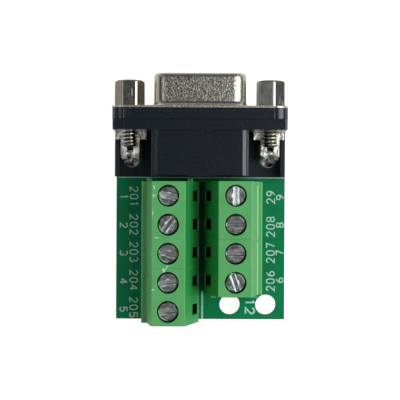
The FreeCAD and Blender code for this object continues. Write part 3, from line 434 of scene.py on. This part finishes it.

# %% [markdown]
# ### Painted light on the jackscrews
#
# A painted highlight lies on the hexagon's long edges, strongest on those facing the right lamp, a painted brown
# reflection on its side faces, and painted shade at the roots of the thread behind the socket. The Geometry
# node's Pointiness finds such places only on a very fine mesh. The distance from the screw's axis gives them
# exactly, because the piece is turned round that axis.


# %% Nickel-plated jackscrews, the right one's copy darker as painted shade
EDGE_FROM, EDGE_FULL = 2.585, 2.615
CREST, ROOT = 1.32, 1.12
THREAD_FROM, THREAD_FULL = -1.0, -1.2


def jackscrew_plating_and_light(tree, colour, rough):
    """Painted brown reflection on the hexagon's side faces, and a painted highlight on its long edges that is
    strongest on those facing +X. Behind the front wall the thread is bright, with painted shade at its roots.
    Edges and roots are told by their distance from the screw's axis."""
    place = place_texture(tree)
    aside = math_node(tree, "SUBTRACT", math_node(tree, "ABSOLUTE", part_of(tree, place, "X")), JACK_ACROSS)
    spoke = node(tree, "CombineXYZ", {"X": aside, "Z": part_of(tree, place, "Z")}).outputs[0]
    from_axis = vector_node(tree, "LENGTH", spoke)
    facing = part_of(tree, face_normal(tree), "X")
    # Painted brown reflection on the hexagon's side faces, told by the normal's part across.
    painted_side_reflection = remap(tree, math_node(tree, "ABSOLUTE", facing), 0.62, 0.72, 0, 0.6)
    colour = blend(tree, painted_side_reflection, colour, (0.19, 0.165, 0.11, 1))
    # Painted highlight on the hexagon's long edges, strongest on those facing +X, towards the right lamp.
    edge = math_node(tree, "MULTIPLY", remap(tree, from_axis, EDGE_FROM, EDGE_FULL),
                     remap(tree, facing, -0.2, 0.1, 0.25, 1))
    colour = blend(tree, edge, colour, (0.62, 0.61, 0.57, 1))
    # Painted shade at the thread's roots.
    painted_root_shade = remap(tree, from_axis, CREST, ROOT)
    thread = blend(tree, painted_root_shade, (0.80, 0.77, 0.68, 1), (0.10, 0.08, 0.06, 1))
    behind = remap(tree, part_of(tree, place, "Y"), THREAD_FROM, THREAD_FULL)
    return blend(tree, behind, colour, thread), remap(tree, behind, 0, 1, rough, 0.2)


rubbed_nickel = partial(plated, sheen=(0.16, 0.26), dent_scale=0.8, lines=(1.0, 0.35, 0.22),
                        turn=(0, 0, math.radians(90)), edge=0.0003, wear=jackscrew_plating_and_light)
# The right jackscrew's copy has darker colours, as painted shade.
nickel = {-1: rubbed_nickel("rubbed nickel left", (0.20, 0.19, 0.165, 1), (0.30, 0.29, 0.255, 1)),
          1: rubbed_nickel("rubbed nickel right", (0.11, 0.113, 0.11, 1), (0.19, 0.193, 0.187, 1))}
finish_nodes(nickel[-1], "jackscrew_left")
finish_nodes(nickel[1], "jackscrew_right")

# %% [markdown]
# ### Terminal housings
#
# The housings are green polyamide, satin and soft enough to scuff. The slopes towards the other row are painted
# a deeper green as painted shade, the long edges and the crease of the right row's ledge get a painted pale
# highlight, and a few scuffs lie on the tops. Colours at the mesh's points could carry this, but the frame's
# meshes have too few points, so each is a mask from the normal or from the place.

# %% Green polyamide: each scuff runs from one place in plan to another, and has a width
SCUFFS = [((-7.88, -14.02), (-7.78, -14.50), 0.1), ((-8.07, -15.51), (-7.69, -15.61), 0.09),
          ((-7.81, -15.65), (-8.0, -15.96), 0.09), ((-8.12, -18.35), (-8.1, -18.86), 0.1),
          ((-7.69, -22.86), (-7.09, -22.93), 0.09), ((-5.42, -27.76), (-5.89, -28.33), 0.1),
          ((-6.25, -28.29), (-6.01, -28.91), 0.17), ((-8.31, -25.39), (-8.31, -26.08), 0.1),
          ((-8.33, -31.92), (-7.86, -31.83), 0.1)]
LIP_ACROSS = 10.3
green_finish, tree, shader = new_finish("green polyamide")
place = place_texture(tree)
soft = use_group(tree, soft_edges, Radius=0.00018)
texture = use_group(tree, grain, Vector=place, Scale=4.0, Depth=0.00003, Strength=0.35, Normal=soft["Normal"])
mottle = use_group(tree, tone, Vector=place, Scale=0.45, Spread=0.7)["Tone"]
colour = blend(tree, mottle, (0.083, 0.385, 0.110, 1), (0.104, 0.43, 0.135, 1))

# The slopes that face the other row are painted a deeper green, as painted shade from the gap between the rows.
normal = face_normal(tree)
side = part_of(tree, place, "X")
painted_gap_shade = remap(tree, math_node(tree, "MULTIPLY", part_of(tree, normal, "X"), side), -0.2, -0.8)
colour = blend(tree, painted_gap_shade, colour, (0.024, 0.33, 0.068, 1))

# The long edges get a painted pale highlight: there the softened normal swings sideways from the face's own.
swing = vector_node(tree, "SUBTRACT", soft["Normal"], normal)
edges = remap(tree, math_node(tree, "ABSOLUTE", part_of(tree, swing, "X")), 0.05, 0.3, 0, 0.9)
colour = blend(tree, edges, colour, (0.27, 0.60, 0.32, 1))
rubbed = use_group(tree, scratches, Vector=place, Scale=0.9, Share=0.12)["Mask"]
colour = blend(tree, math_node(tree, "MULTIPLY", rubbed, 0.35), colour, (0.34, 0.60, 0.36, 1))
# A painted pale highlight along the crease of the right row's ledge.
from_lip = math_node(tree, "ABSOLUTE", math_node(tree, "SUBTRACT", side, LIP_ACROSS))
colour = blend(tree, remap(tree, from_lip, 0.13, 0.05, 0, 0.9), colour, (0.42, 0.86, 0.47, 1))

# The scuffs lie on the tops only.
scuffed = 0.0
for start, end, wide in SCUFFS:
    mark = use_group(tree, scuff, Vector=place, From=(*start, 0), To=(*end, 0), Width=wide)["Mask"]
    scuffed = math_node(tree, "MAXIMUM", scuffed, mark)
upward = remap(tree, part_of(tree, normal, "Z"), 0.5, 0.7)
colour = blend(tree, math_node(tree, "MULTIPLY", scuffed, upward), colour, (0.42, 0.74, 0.48, 1))
tree.links.new(colour, shader["Base Color"])
tree.links.new(texture["Normal"], shader["Normal"])
shader["Roughness"].default_value = 0.42
shader["IOR"].default_value = 1.34
finish_nodes(green_finish, "terminal_housing_")

# %% [markdown]
# ### Clamp screws
#
# Every zinc-plated screw has been driven before, which leaves burrs beside the slot. Their brightness is partly
# painted highlight, strongest where a slot runs towards a lamp, and the bright ends of the slot and a crescent on
# the rim are painted highlight. One picture of a head on all nine would show at once. One function draws burrs
# and highlights from masks on the head's own turned axes, with a few values for each screw, so that every slot
# keeps its own direction and damage.


# %% Burrs and painted highlights on a slotted head
def slot_burrs_and_highlights(tree, colour, rough, centre, reach, turn, torn, even, parted):
    """Bright burrs on a screw's head, partly painted highlight, in plan round its centre, with its slot along the
    turned first axis, and painted highlight at the slot's ends and on the rim. torn is how bright the burrs and
    their painted highlight are, even how much they run together, and parted how dark the slot stays between them."""
    offset = vector_node(tree, "SUBTRACT", place_texture(tree), (*centre, 0))
    own = node(tree, "Mapping", {"Vector": offset, "Rotation": turn}).outputs["Vector"]
    aside = math_node(tree, "ABSOLUTE", part_of(tree, own, "Y"))
    out = vector_node(tree, "LENGTH", vector_node(tree, "MULTIPLY", own, (1, 1, 0)))

    # A ragged band beside the slot.
    ragged = use_group(tree, tone, Vector=own, Scale=1.4, Spread=0.8)["Tone"]
    limit = remap(tree, ragged, 0, 1, 0.4, 0.72)
    burrs = remap(tree, math_node(tree, "SUBTRACT", aside, limit), 0.05, -0.05)
    streaks = use_group(tree, scratches, Vector=own, Scale=1.6, Share=0.9)["Mask"]
    burrs = math_node(tree, "MULTIPLY", burrs, remap(tree, streaks, 0, 1, even, 1))
    burrs = math_node(tree, "MULTIPLY", burrs, remap(tree, aside, 0.2, 0.36, 1 - parted, 1))
    burrs = math_node(tree, "MULTIPLY", burrs, torn)

    # The slot's two ends at the rim, as painted highlight.
    ends = math_node(tree, "MULTIPLY", remap(tree, out, reach - 0.3, reach - 0.15),
                     remap(tree, aside, 0.5, 0.3, 0, 0.7))

    # A patchy crescent of painted highlight on the rim, towards the lamp on its row's side, with a fainter one
    # across from it.
    towards = (-0.7, -0.7, 0) if centre[0] < 0 else (0.85, 0.5, 0)
    aim = vector_node(tree, "DOT_PRODUCT", offset, towards)
    near = remap(tree, aim, 0.6 * reach, 0.85 * reach)
    far = remap(tree, aim, -0.8 * reach, -0.95 * reach, 0, 0.6)
    patchy = use_group(tree, tone, Vector=own, Scale=0.5, Spread=0.4)["Tone"]
    painted_rim_highlight = math_node(tree, "MULTIPLY", remap(tree, out, reach - 0.3, reach - 0.2),
                         math_node(tree, "MAXIMUM", near, far))
    painted_rim_highlight = math_node(tree, "MULTIPLY", painted_rim_highlight, remap(tree, patchy, 0, 1, 0.4, 1.2))

    # Burrs, slot ends and rim crescent together: partly wear, mostly painted highlight.
    burrs = math_node(tree, "MAXIMUM", math_node(tree, "MAXIMUM", burrs, ends), painted_rim_highlight)
    return blend(tree, burrs, colour, (0.86, 0.93, 0.91, 1)), remap(tree, burrs, 0, 1, rough, 0.5)


# %% Zinc-plated clamp screws: for each the slot's turn in degrees, then torn (how bright the burrs and their painted highlight are), even and parted
SLOTS = {1: (-15, 0.8, 0.3, 0), 2: (55, 0.9, 0.4, 0.8), 3: (-15, 0.6, 0.3, 0.4), 4: (8, 0.65, 0.3, 0),
         5: (3, 0.55, 0.3, 0), 6: (-71, 1.0, 0.9, 1.0), 7: (0, 0.25, 0.3, 0), 8: (0, 0.2, 0.3, 0),
         9: (90, 1.0, 0.9, 0)}
for number, (degrees, torn, even, parted) in SLOTS.items():
    low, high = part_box(f"clamp_screw_{number}")
    turn = (0, 0, math.radians(-degrees))
    wear = partial(slot_burrs_and_highlights, centre=[(a + b) / 2 / MM for a, b in zip(low, high)][:2],
                   reach=(high[0] - low[0]) / 2 / MM, turn=turn, torn=torn, even=even, parted=parted)
    finish = plated(f"zinc screw {number}", (0.115, 0.098, 0.098, 1), (0.21, 0.235, 0.25, 1), (0.28, 0.4),
                    dent=0.0001, dent_scale=1.2, lines=(1.3, 0.55, 0.5), turn=turn,
                    shift=(7.3 * number, 3.1 * number, 0), wear=wear)
    finish_nodes(finish, f"clamp_screw_{number}")
print(len([m for m in bpy.data.materials if m.users]), "finishes in use")

# %% [markdown]
# ## Added pieces
#
# Threads, legend, pads and flowed solder are made here as surfaces over a grid: rows along the piece,
# columns round it. Each shape is one formula for where a grid point lies. Modifiers and cuts could make them
# too, but a grid closes without stray faces, and two numbers set how fine it is.


# %% Make a mesh from a grid of points
def grid_faces(grid, first, ring):
    """Faces over one grid, all outwards, with first as the number of its first point. Columns close round. The
    end rows get caps, or in a ring meet each other. Outwards is where the sum of a . (b x c + c x d) / 6 over
    the quads, from the grid's middle, is positive."""
    rows, columns, _ = grid.shape
    index = np.arange(rows * columns).reshape(rows, columns)
    below = np.roll(index, -1, axis=0)
    if not ring:
        index, below = index[:-1], below[:-1]
    quads = np.stack([index, np.roll(index, -1, 1), np.roll(below, -1, 1), below], axis=-1).reshape(-1, 4)
    caps = [] if ring else [index[0][::-1], below[-1]]
    a, b, c, d = (grid.reshape(-1, 3) - grid.mean(axis=(0, 1)))[quads.T]
    step = 1 if (a * (np.cross(b, c) + np.cross(c, d))).sum() > 0 else -1
    return [(first + face[::step]).tolist() for face in (*quads, *caps)]


def grid_object(name, grids, material, body, ring=False):
    """Joins point grids (rows x columns x 3, in millimetres) into one object."""
    faces = []
    first = 0
    for grid in grids:
        faces += grid_faces(grid, first, ring)
        first += grid.shape[0] * grid.shape[1]
    points = np.concatenate([grid.reshape(-1, 3) for grid in grids])
    mesh = bpy.data.meshes.new(name)
    mesh.from_pydata((points * MM).tolist(), [], faces)
    mesh.validate()
    mesh.materials.append(material)
    thing = bpy.data.objects.new(name, mesh)
    bpy.context.scene.collection.objects.link(thing)
    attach(thing, body)
    return thing


def shade_smooth(thing, degrees):
    """Round faces are shaded smooth, and edges sharper than the angle stay sharp."""
    thing.data.shade_smooth()
    thing.data.set_sharp_from_angle(angle=math.radians(degrees))


# %% [markdown]
# ### Jackscrews
#
# Each holds the socket to its bracket: a hexagon turned down to a No. 4-40 thread, forty threads to the inch,
# with a tapped hole in front for the plug's thumbscrew. They are turned from hexagonal brass bar,
# so the front edge is a cone cut over the hexagon. The thread is what shows behind the front wall. A Screw
# modifier could wind a thread, but its ends would stay open. A grid whose radius falls by the thread's depth
# runs on into hexagon and bore as one closed skin.

# %% Form of the thread and of the hexagon
THREAD_PITCH = 25.4 / 40
THREAD_REACH = 1.42  # half of the No. 4 size
HOLE_CUT = 0.22
SHANK_CUT = 0.39
HEX_FLATS = 4.75
HEX_CORNER = 0.55
FRONT_CONE = 0.5


def thread_depth(turns):
    """Depth, 0 at the crest and 1 at the root, of a sixty-degree thread with small flats:
    max(0, min(1, 1.25 |2f - 1| - 0.1)) where f is the part of a turn."""
    part = turns - np.floor(turns)
    return np.clip(1.25 * np.abs(2 * part - 1) - 0.1, 0, 1)


def hexagon_radius(angle, flats, corner):
    """Reach of a hexagon with rounded corners: flats / 2 / cos(a) on the flats, and on the corner circle
    c cos(b) + sqrt(r^2 - c^2 sin^2(b)), with a and b counted from the flat's and the corner's middle."""
    from_flat = (angle + math.pi / 6) % (math.pi / 3) - math.pi / 6
    from_corner = angle % (math.pi / 3) - math.pi / 6
    centre = (flats / 2 - corner) / math.cos(math.pi / 6)
    inside = np.maximum(corner ** 2 - (centre * np.sin(from_corner)) ** 2, 0)
    rounded = centre * np.cos(from_corner) + np.sqrt(inside)
    tangent = math.atan((1 - 2 * corner / flats) * math.tan(math.pi / 6))
    return np.where(np.abs(from_flat) < tangent, flats / 2 / np.cos(from_flat), rounded)


print("hexagon's longest reach", round(float(hexagon_radius(math.pi / 6, HEX_FLATS, HEX_CORNER)), 3), "mm")


# %% Jackscrews with cut threads
def jackscrew(name, side, turn):
    """A grid of rows along the screw and columns round it: the bore, the front, the hexagon and the shank.
    A point is (R sin q, y, R cos q), where R falls by the thread's depth at y / pitch - q / 2 pi turns."""
    low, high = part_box(name)
    front, end = high[1] / MM, low[1] / MM
    steps = np.concatenate([np.linspace(-23, 23, 7), np.linspace(24, 36, 9)])
    angle = np.radians(np.add.outer(np.arange(6) * 60, steps).ravel())
    turns = angle / (2 * math.pi)
    hexagon = hexagon_radius(angle, HEX_FLATS, HEX_CORNER)

    # The bore's bottom, its thread and its countersunk mouth.
    rows = [(0.33, reach) for reach in (0.05, 0.6, 1.15)]
    for y in np.arange(0.45, front - 0.45, THREAD_PITCH / 14):
        rows.append((y, THREAD_REACH - HOLE_CUT * (1 - thread_depth(y / THREAD_PITCH - turns))))
    rows += [(front - 0.40, THREAD_REACH), (front - 0.2, 1.48), (front - 0.06, 1.58), (front, 1.68)]

    # The front's flat, the cone over the hexagon, and the hexagon down to the flange.
    rows.append((front, 1.9))
    for share in np.linspace(0, 1, 9):
        cone = 2.12 + 0.62 * np.sin(share * math.pi / 2)
        rows.append((front - FRONT_CONE * share, np.minimum(hexagon, cone)))
    rows += [(y, hexagon) for y in np.linspace(front - FRONT_CONE - 0.05, 0.12, 8)]
    rows += [(0.0, hexagon - 0.1), (0.0, THREAD_REACH)]

    # The shank's thread and its turned end.
    for y in np.arange(-0.05, end + 0.42, -THREAD_PITCH / 16):
        rows.append((y, THREAD_REACH - SHANK_CUT * thread_depth(y / THREAD_PITCH - turns)))
    rows += [(end + 0.36, 1.20), (end + 0.2, 1.12), (end + 0.05, 0.98), (end, 0.9), (end, 0.05)]

    reach = np.array([np.broadcast_to(radius, angle.shape) for _, radius in rows])
    along = np.array([y for y, _ in rows])[:, None] * np.ones_like(angle)
    turned = angle + math.radians(turn)
    grid = np.stack([reach * np.sin(turned) + side * JACK_ACROSS, along, reach * np.cos(turned)], axis=-1)
    thing = grid_object(name + "_threaded", [grid], nickel[side], "adapter")
    shade_smooth(thing, 35)
    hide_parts(name)
    print(name, len(thing.data.polygons), "faces")


jackscrew("jackscrew_left", -1, 0)
jackscrew("jackscrew_right", 1, -20)

# %% [markdown]
# ### Solder and pads
#
# Under the board each pin stands in a tinned copper ring, and the solder climbs the pin in a hollow curve.
# The joints were flowed from below, so they are all alike and slightly uneven. A cone would do from afar, but
# the hollow curve is what tells solder from a plain peg, and a grid follows it with nine rows.


# %% Flowed solder under the board
def solder_fillet(across, along, ring, pin, tip, swing):
    """A hollow cone: R(t) = pin + (ring - pin) (1 - t)^2.4 from the board down to the tip, on a pad that
    reaches 0.25 mm further and is 0.035 mm thick. It is a little uneven round the pin."""
    pad, thick = 0.25, 0.035
    angle = np.linspace(0, 2 * math.pi, 29)[:-1]
    t = np.linspace(0, 1, 9)
    reach = pin + (ring - pin) * (1 - t) ** 2.4
    reach = np.concatenate([[0.05, ring + pad, ring + pad], reach, [0.04]])
    drop = np.concatenate([[0.0, 0.0, thick], thick + tip * t, [thick + tip + 0.05]])
    uneven = 1 + 0.035 * np.sin(2 * angle + swing) + 0.02 * np.sin(3 * angle + 2 * swing)
    x = np.outer(reach, np.cos(angle) * uneven) + across
    y = np.outer(reach, np.sin(angle) * uneven) + along
    z = (BOARD_BOTTOM - drop)[:, None] * np.ones_like(angle)
    return np.stack([x, y, z], axis=-1)


def solder_plug(across, along, reach, swing):
    """Solder that has risen in a plated hole: a disc whose top is hollow, z = top - 0.1 - 0.4 (1 - (r / R)^2),
    with a wave round it where it clings to the legs."""
    angle = np.linspace(0, 2 * math.pi, 41)[:-1]
    r = np.array([0.02, 0.3, 0.6, 0.9, 1.15, 1.32, 1.42, 1.47]) / 1.47
    wave = 0.09 * np.outer(r * (1 - r) * 4, np.sin(3 * angle + 2 * swing) + 0.6 * np.sin(5 * angle + swing))
    x = reach * np.outer(r, np.cos(angle)) + across
    y = reach * np.outer(r, np.sin(angle)) + along
    z = BOARD_TOP - 0.1 - 0.4 * (1 - r[:, None] ** 2) + wave
    top = np.stack([x, y, z], axis=-1)
    under = top[::-1].copy()
    under[:, :, 2] = BOARD_BOTTOM
    return np.concatenate([top, under])


def strip_pin(number):
    """Plan place of a terminal's pin: 0.4 mm from its strip's rear end, and in the strip's middle."""
    low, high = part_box(f"solder_strip_{number}")
    across = high[0] / MM - 0.4 if number <= 5 else low[0] / MM + 0.4
    return across, (low[1] + high[1]) / 2 / MM


def contact_tail(number):
    """Plan place of a contact's tail: 0.3 mm from its rear end, and in its middle."""
    low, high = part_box(f"socket_contact_{number}")
    return (low[0] + high[0]) / 2 / MM, low[1] / MM + 0.3


def flowed(name, grids):
    """The flowed solder in place of the frame's plain one."""
    thing = grid_object(name + "_flowed", grids, solder_metal, "adapter")
    shade_smooth(thing, 60)
    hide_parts(name)
    print(thing.name, "in", len(grids), "joints,", len(thing.data.polygons), "faces")


lock_low, lock_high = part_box("lock_solder")
LOCK_ALONG = (lock_low[1] + lock_high[1]) / 2 / MM
flowed("terminal_solder", [
    solder_fillet(*strip_pin(n), ring=1.25, pin=0.52, tip=1.15, swing=n - 1) for n in range(1, 10)])
flowed("socket_solder", [
    solder_fillet(*contact_tail(n), ring=0.8, pin=0.36, tip=1.15, swing=n - 1) for n in range(1, 10)])
flowed("lock_solder", [
    solder_fillet(side * JACK_ACROSS, LOCK_ALONG, ring=1.9, pin=1.28, tip=1.2, swing=side) for side in (-1, 1)
] + [solder_plug(side * JACK_ACROSS, LOCK_ALONG, reach=1.47, swing=side) for side in (-1, 1)])

# %% [markdown]
# ### Tinned rings
#
# The plated holes of the board locks end in a thin tinned ring on the board's top. A flattened torus is round
# where plating is flat, so the ring is a four-sided section carried round the hole. Its outer edge lies a little
# further back than its inner one, as drilled holes seldom sit in the middle of their copper.


# %% Tinned rings round the board locks, on the board's top
def flat_ring(across, along, inner, outer, low, high, back):
    """A flat ring whose outer edge lies further back: four rows of circles round its own section."""
    angle = np.linspace(0, 2 * math.pi, 49)[:-1]
    reach = np.array([inner, inner, outer, outer])
    level = np.array([low, high, high, low])
    aside = np.array([0, 0, back, back])
    x = np.outer(reach, np.cos(angle)) + across
    y = np.outer(reach, np.sin(angle)) + along - aside[:, None]
    z = level[:, None] * np.ones_like(angle)
    return np.stack([x, y, z], axis=-1)


grids = [flat_ring(side * JACK_ACROSS, LOCK_ALONG, 1.46, 1.59, BOARD_TOP, BOARD_TOP + 0.04, 0.1)
         for side in (-1, 1)]
rings = grid_object("lock_pads", grids, solder_metal, "adapter", ring=True)
shade_smooth(rings, 30)
print("rings:", len(rings.data.polygons), "faces")

# %% [markdown]
# ### Printed legend
#
# The board carries a pale screen-printed legend: a line behind the socket, a short line between the rows,
# pin numbers along both edges, a mark of two or three figures beside each terminal and one between the fixing
# holes. Text objects could print it, but they need a font, and a screen print has strokes of one width. So each
# stroke is a closed ribbon of ink, 0.21 mm wide and 0.02 mm high, mitred at its corners, and the second stroke
# of a figure lies on the first.

# %% Legend finish
INK_LOW = BOARD_TOP - 0.004
INK_HIGH = BOARD_TOP + 0.02
INK_STEP = 0.006
ink, tree, shader = new_finish("screen-printed ink")
worn = use_group(tree, tone, Vector=place_texture(tree), Scale=2.5, Spread=0.9)["Tone"]
tree.links.new(blend(tree, worn, (0.34, 0.56, 0.49, 1), (0.54, 0.80, 0.73, 1)), shader["Base Color"])
shader["Roughness"].default_value = 0.5
print(f"{ink.name}: {len(tree.nodes)} nodes")


# %% Stroke figures
def arc(across, up, wide, high, start=90, end=450, count=15):
    """Points of an ellipse's arc, angles in degrees, anticlockwise from the right, or of a whole ellipse."""
    angle = np.radians(np.linspace(start, end, count))
    return np.stack([across + wide * np.cos(angle), up + high * np.sin(angle)], axis=-1)


def strokes(figure):
    """The strokes of a figure in a box 1 wide and 1.6 high. Each is a list of points and arcs to join."""
    shapes = {
        "0": [[arc(0.5, 1.1, 0.46, 0.5, 0, 180, 9), arc(0.5, 0.5, 0.46, 0.5, 180, 360, 9), [(0.96, 1.1)]]],
        "1": [[[(0.2, 1.28), (0.5, 1.6), (0.5, 0.0)]]],
        "2": [[arc(0.5, 1.15, 0.46, 0.45, 170, -35, 9), [(0.04, 0.0), (0.98, 0.0)]]],
        "3": [[arc(0.45, 1.2, 0.45, 0.4, 150, -80, 9), arc(0.45, 0.42, 0.5, 0.42, 80, -150, 9)]],
        "4": [[[(0.98, 0.5), (0.02, 0.5), (0.7, 1.6)]], [[(0.7, 1.55), (0.7, 0.0)]]],
        "5": [[[(0.92, 1.6), (0.12, 1.6), (0.08, 0.85)], arc(0.46, 0.5, 0.48, 0.5, 120, -150, 9)]],
        "6": [[[(0.75, 1.6)], arc(0.9, 0.55, 0.86, 0.95, 130, 180, 6)], [arc(0.5, 0.45, 0.46, 0.45)]],
        "7": [[[(0.02, 1.6), (0.98, 1.6), (0.4, 0.0)]]],
        "8": [[arc(0.5, 1.18, 0.46, 0.42)], [arc(0.5, 0.4, 0.48, 0.4)]],
        "9": [[[(0.25, 0.0)], arc(0.1, 1.05, 0.86, 0.95, -50, 0, 6)], [arc(0.5, 1.15, 0.46, 0.45)]],
    }
    return [np.concatenate(pieces) for pieces in shapes[figure]]


def ribbon(line, wide, high=INK_HIGH):
    """A closed box ribbon along a line in plan. Each side is the line moved by wide / 2 along the mitred normal
    n / (1 + n . m), with n and m the normals before and after the point."""
    step = np.diff(line, axis=0)
    step /= np.linalg.norm(step, axis=1)[:, None]
    before = np.concatenate([step[:1], step])
    after = np.concatenate([step, step[-1:]])
    first = np.stack([-before[:, 1], before[:, 0]], axis=-1)
    second = np.stack([-after[:, 1], after[:, 0]], axis=-1)
    mitre = (first + second) / np.maximum(1 + (first * second).sum(axis=1), 0.35)[:, None]
    left = line + mitre * wide / 2
    right = line - mitre * wide / 2
    levels = np.ones(len(line))
    section = [(left, high), (right, high), (right, INK_LOW), (left, INK_LOW)]
    return np.stack([np.column_stack([side, levels * level]) for side, level in section], axis=1)


def figures(text, across, along, wide, high, pitch, clockwise, line=0.21):
    """A row of figures that reads down the board when clockwise, and up it when not, centred on a place."""
    made = []
    for index, figure in enumerate(text):
        offset = (index - (len(text) - 1) / 2) * pitch
        for order, stroke in enumerate(strokes(figure)):
            right = (stroke[:, 0] - 0.5) * wide + offset
            up = (stroke[:, 1] / 1.6 - 0.5) * high
            if clockwise:
                place = np.stack([across + up, along - right], axis=-1)
            else:
                place = np.stack([across - up, along + right], axis=-1)
            made.append(ribbon(place, line, INK_HIGH + INK_STEP * order))
    return made


# %% Place the legend
# Each column: its texts from the socket on, their place across, their places along, the figures' width, height
# and pitch, and whether they read down the board.
COLUMNS = [
    ("1 2 3 4 5", -13.77, (-15.85, -21.0, -26.05, -31.2, -36.28), 0.86, 1.3, 1.3, True),
    ("9 8 7 6", 14.56, (-15.83, -20.87, -25.92, -30.88), 0.86, 1.25, 1.3, False),
    ("201 202 203 204 205", -11.93, (-15.8, -20.9, -25.87, -30.98, -35.93), 0.86, 1.4, 1.34, True),
    ("29 208 207 206", 12.88, (-15.83, -21.18, -25.95, -31.05), 0.86, 1.42, 1.34, False),
]
grids = []
for texts, across, places, *form in COLUMNS:
    for text, along in zip(texts.split(), places):
        grids += figures(text, across, along, *form)
grids += figures("12", 9.2, -35.7, 1.1, 1.6, 1.5, True, line=0.3)
behind_socket = np.array([[-14.9, -12.27], [15.27, -12.27]])
between_rows = np.array([[0.53, -32.85], [0.53, -37.95]])
grids += [ribbon(behind_socket, 0.22), ribbon(between_rows, 0.3)]
legend = grid_object("printed_legend", grids, ink, "adapter")
print("legend:", len(grids), "strokes,", len(legend.data.polygons), "faces")

# %% [markdown]
# ## Floor, light and camera
#
# The adapter lies flat on a white table, photographed from straight above. The table could be lit until it is
# white, but then the object would be too light. So it glows a little, and only to the camera and to mirrored
# rays, while its own colour keeps the object's shadow.

# %% White table that goes to plain white in the picture
SPAN = 2.0
FLOOR = PIN_TIP * MM - 0.0001
TABLE_GREY = 0.82
CAMERA_GLOW = 0.82
MIRROR_GLOW = 0.18
floor_mesh = bpy.data.meshes.new("floor")
corners = [(-SPAN, -SPAN, FLOOR), (SPAN, -SPAN, FLOOR), (SPAN, SPAN, FLOOR), (-SPAN, SPAN, FLOOR)]
floor_mesh.from_pydata(corners, [], [(0, 1, 2, 3)])
floor = bpy.data.objects.new("floor", floor_mesh)
bpy.context.scene.collection.objects.link(floor)
floor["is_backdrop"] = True
paper = bpy.data.materials.new("white table")
paper.use_nodes = True
tree = paper.node_tree
tree.nodes.clear()
matt = node(tree, "BsdfDiffuse", {"Color": (TABLE_GREY, TABLE_GREY, TABLE_GREY, 1)})
ray = node(tree, "LightPath").outputs
mirrored = math_node(tree, "ADD", ray["Is Glossy Ray"], ray["Is Transmission Ray"])
strength = math_node(tree, "ADD", math_node(tree, "MULTIPLY", mirrored, MIRROR_GLOW),
                     math_node(tree, "MULTIPLY", ray["Is Camera Ray"], CAMERA_GLOW))
glow = node(tree, "Emission", {"Color": (1, 1, 1, 1), "Strength": strength})
both = node(tree, "AddShader", {0: matt.outputs[0], 1: glow.outputs[0]})
node(tree, "OutputMaterial", {"Surface": both.outputs[0]})
floor_mesh.materials.append(paper)
print("table", round(FLOOR * 1000, 2), "mm below the socket's axis")

# %% [markdown]
# ### Room and lights
#
# Plated metal shows the room more than the lamps. A picture of a studio could stand round the object, but grey
# levels from the horizon to overhead are enough: pale down to the table and dark overhead, where the camera
# is. A large soft light to the right gives the bright streaks on sleeve and hexagons, and a weaker one to the
# left fills the shadows.

# %% Pale room, dark overhead: each level's place, from the horizon at 0 to overhead at 1, and its grey
ROOM = [(0.0, 0.20), (0.45, 0.30), (0.86, 0.32), (0.96, 0.22), (1.0, 0.14)]
world = bpy.data.worlds.new("room")
bpy.context.scene.world = world
world.use_nodes = True
tree = world.node_tree
tree.nodes.clear()
up = part_of(tree, node(tree, "TexCoord").outputs["Generated"], "Z")
ramp = node(tree, "ValToRGB", {"Fac": up})
elements = ramp.color_ramp.elements
elements[0].position = ROOM[0][0]
elements[1].position = ROOM[-1][0]
for position, _ in ROOM[1:-1]:
    elements.new(position)
for element, (_, grey) in zip(elements, ROOM):
    element.color = (grey, grey, grey, 1)
room = node(tree, "Background", {"Color": ramp.outputs["Color"], "Strength": 1.0})
plain = node(tree, "Background", {"Color": (1, 1, 1, 1), "Strength": 1.0})
ray = node(tree, "LightPath").outputs
mirrored = math_node(tree, "MULTIPLY", ray["Is Glossy Ray"], remap(tree, up, 0.10, 0.03))
seen = math_node(tree, "ADD", ray["Is Camera Ray"], ray["Is Transmission Ray"])
seen = math_node(tree, "ADD", seen, mirrored, clamp=True)
pick = node(tree, "MixShader", {0: seen, 1: room.outputs[0], 2: plain.outputs[0]})
node(tree, "OutputWorld", {"Surface": pick.outputs[0]})
print(len(elements), "levels of grey in the room")


# %% Soft lights to the right and the left
LAMP_AWAY = 0.5
MIDDLE_ALONG = -0.0165


def soft_light(name, lean, across, along, watts):
    """An area light above the object's middle, leaned from straight above, to the right when positive."""
    data = bpy.data.lights.new(name, "AREA")
    data.shape = "RECTANGLE"
    data.size = across
    data.size_y = along
    data.energy = watts
    lamp = bpy.data.objects.new(name, data)
    angle = math.radians(lean)
    lamp.location = (LAMP_AWAY * math.sin(angle), MIDDLE_ALONG, LAMP_AWAY * math.cos(angle))
    lamp.rotation_euler = (0, angle, 0)
    bpy.context.scene.collection.objects.link(lamp)
    print(name, lean, "degrees from straight above,", watts, "W")


soft_light("right softbox", 38, 0.44, 0.36, 2.06)
soft_light("left softbox", -28, 0.12, 0.36, 0.18)

# %% [markdown]
# ### Camera
#
# The photograph could be met from far away with a longer lens, but the tall terminals lean outward a little in
# it. That lean sets the camera 257 mm above the board, and the lens then follows from the object's size.

# %% Camera straight above
camera_data = bpy.data.cameras.new("camera")
camera_data.lens = 127.26
camera_data.sensor_width = 36
camera = bpy.data.objects.new("camera", camera_data)
camera.location = (0.000041, -0.01637, 0.2507)
camera.rotation_euler = (0, 0, math.radians(0.28))
bpy.context.scene.collection.objects.link(camera)
bpy.context.scene.camera = camera
bpy.context.scene.view_settings.view_transform = "Standard"
above_board = camera.location.z * 1000 - BOARD_TOP
print("lens", round(camera_data.lens, 2), "mm at", round(above_board, 1), "mm above the board")

# %% Read the finished size
low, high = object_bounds()
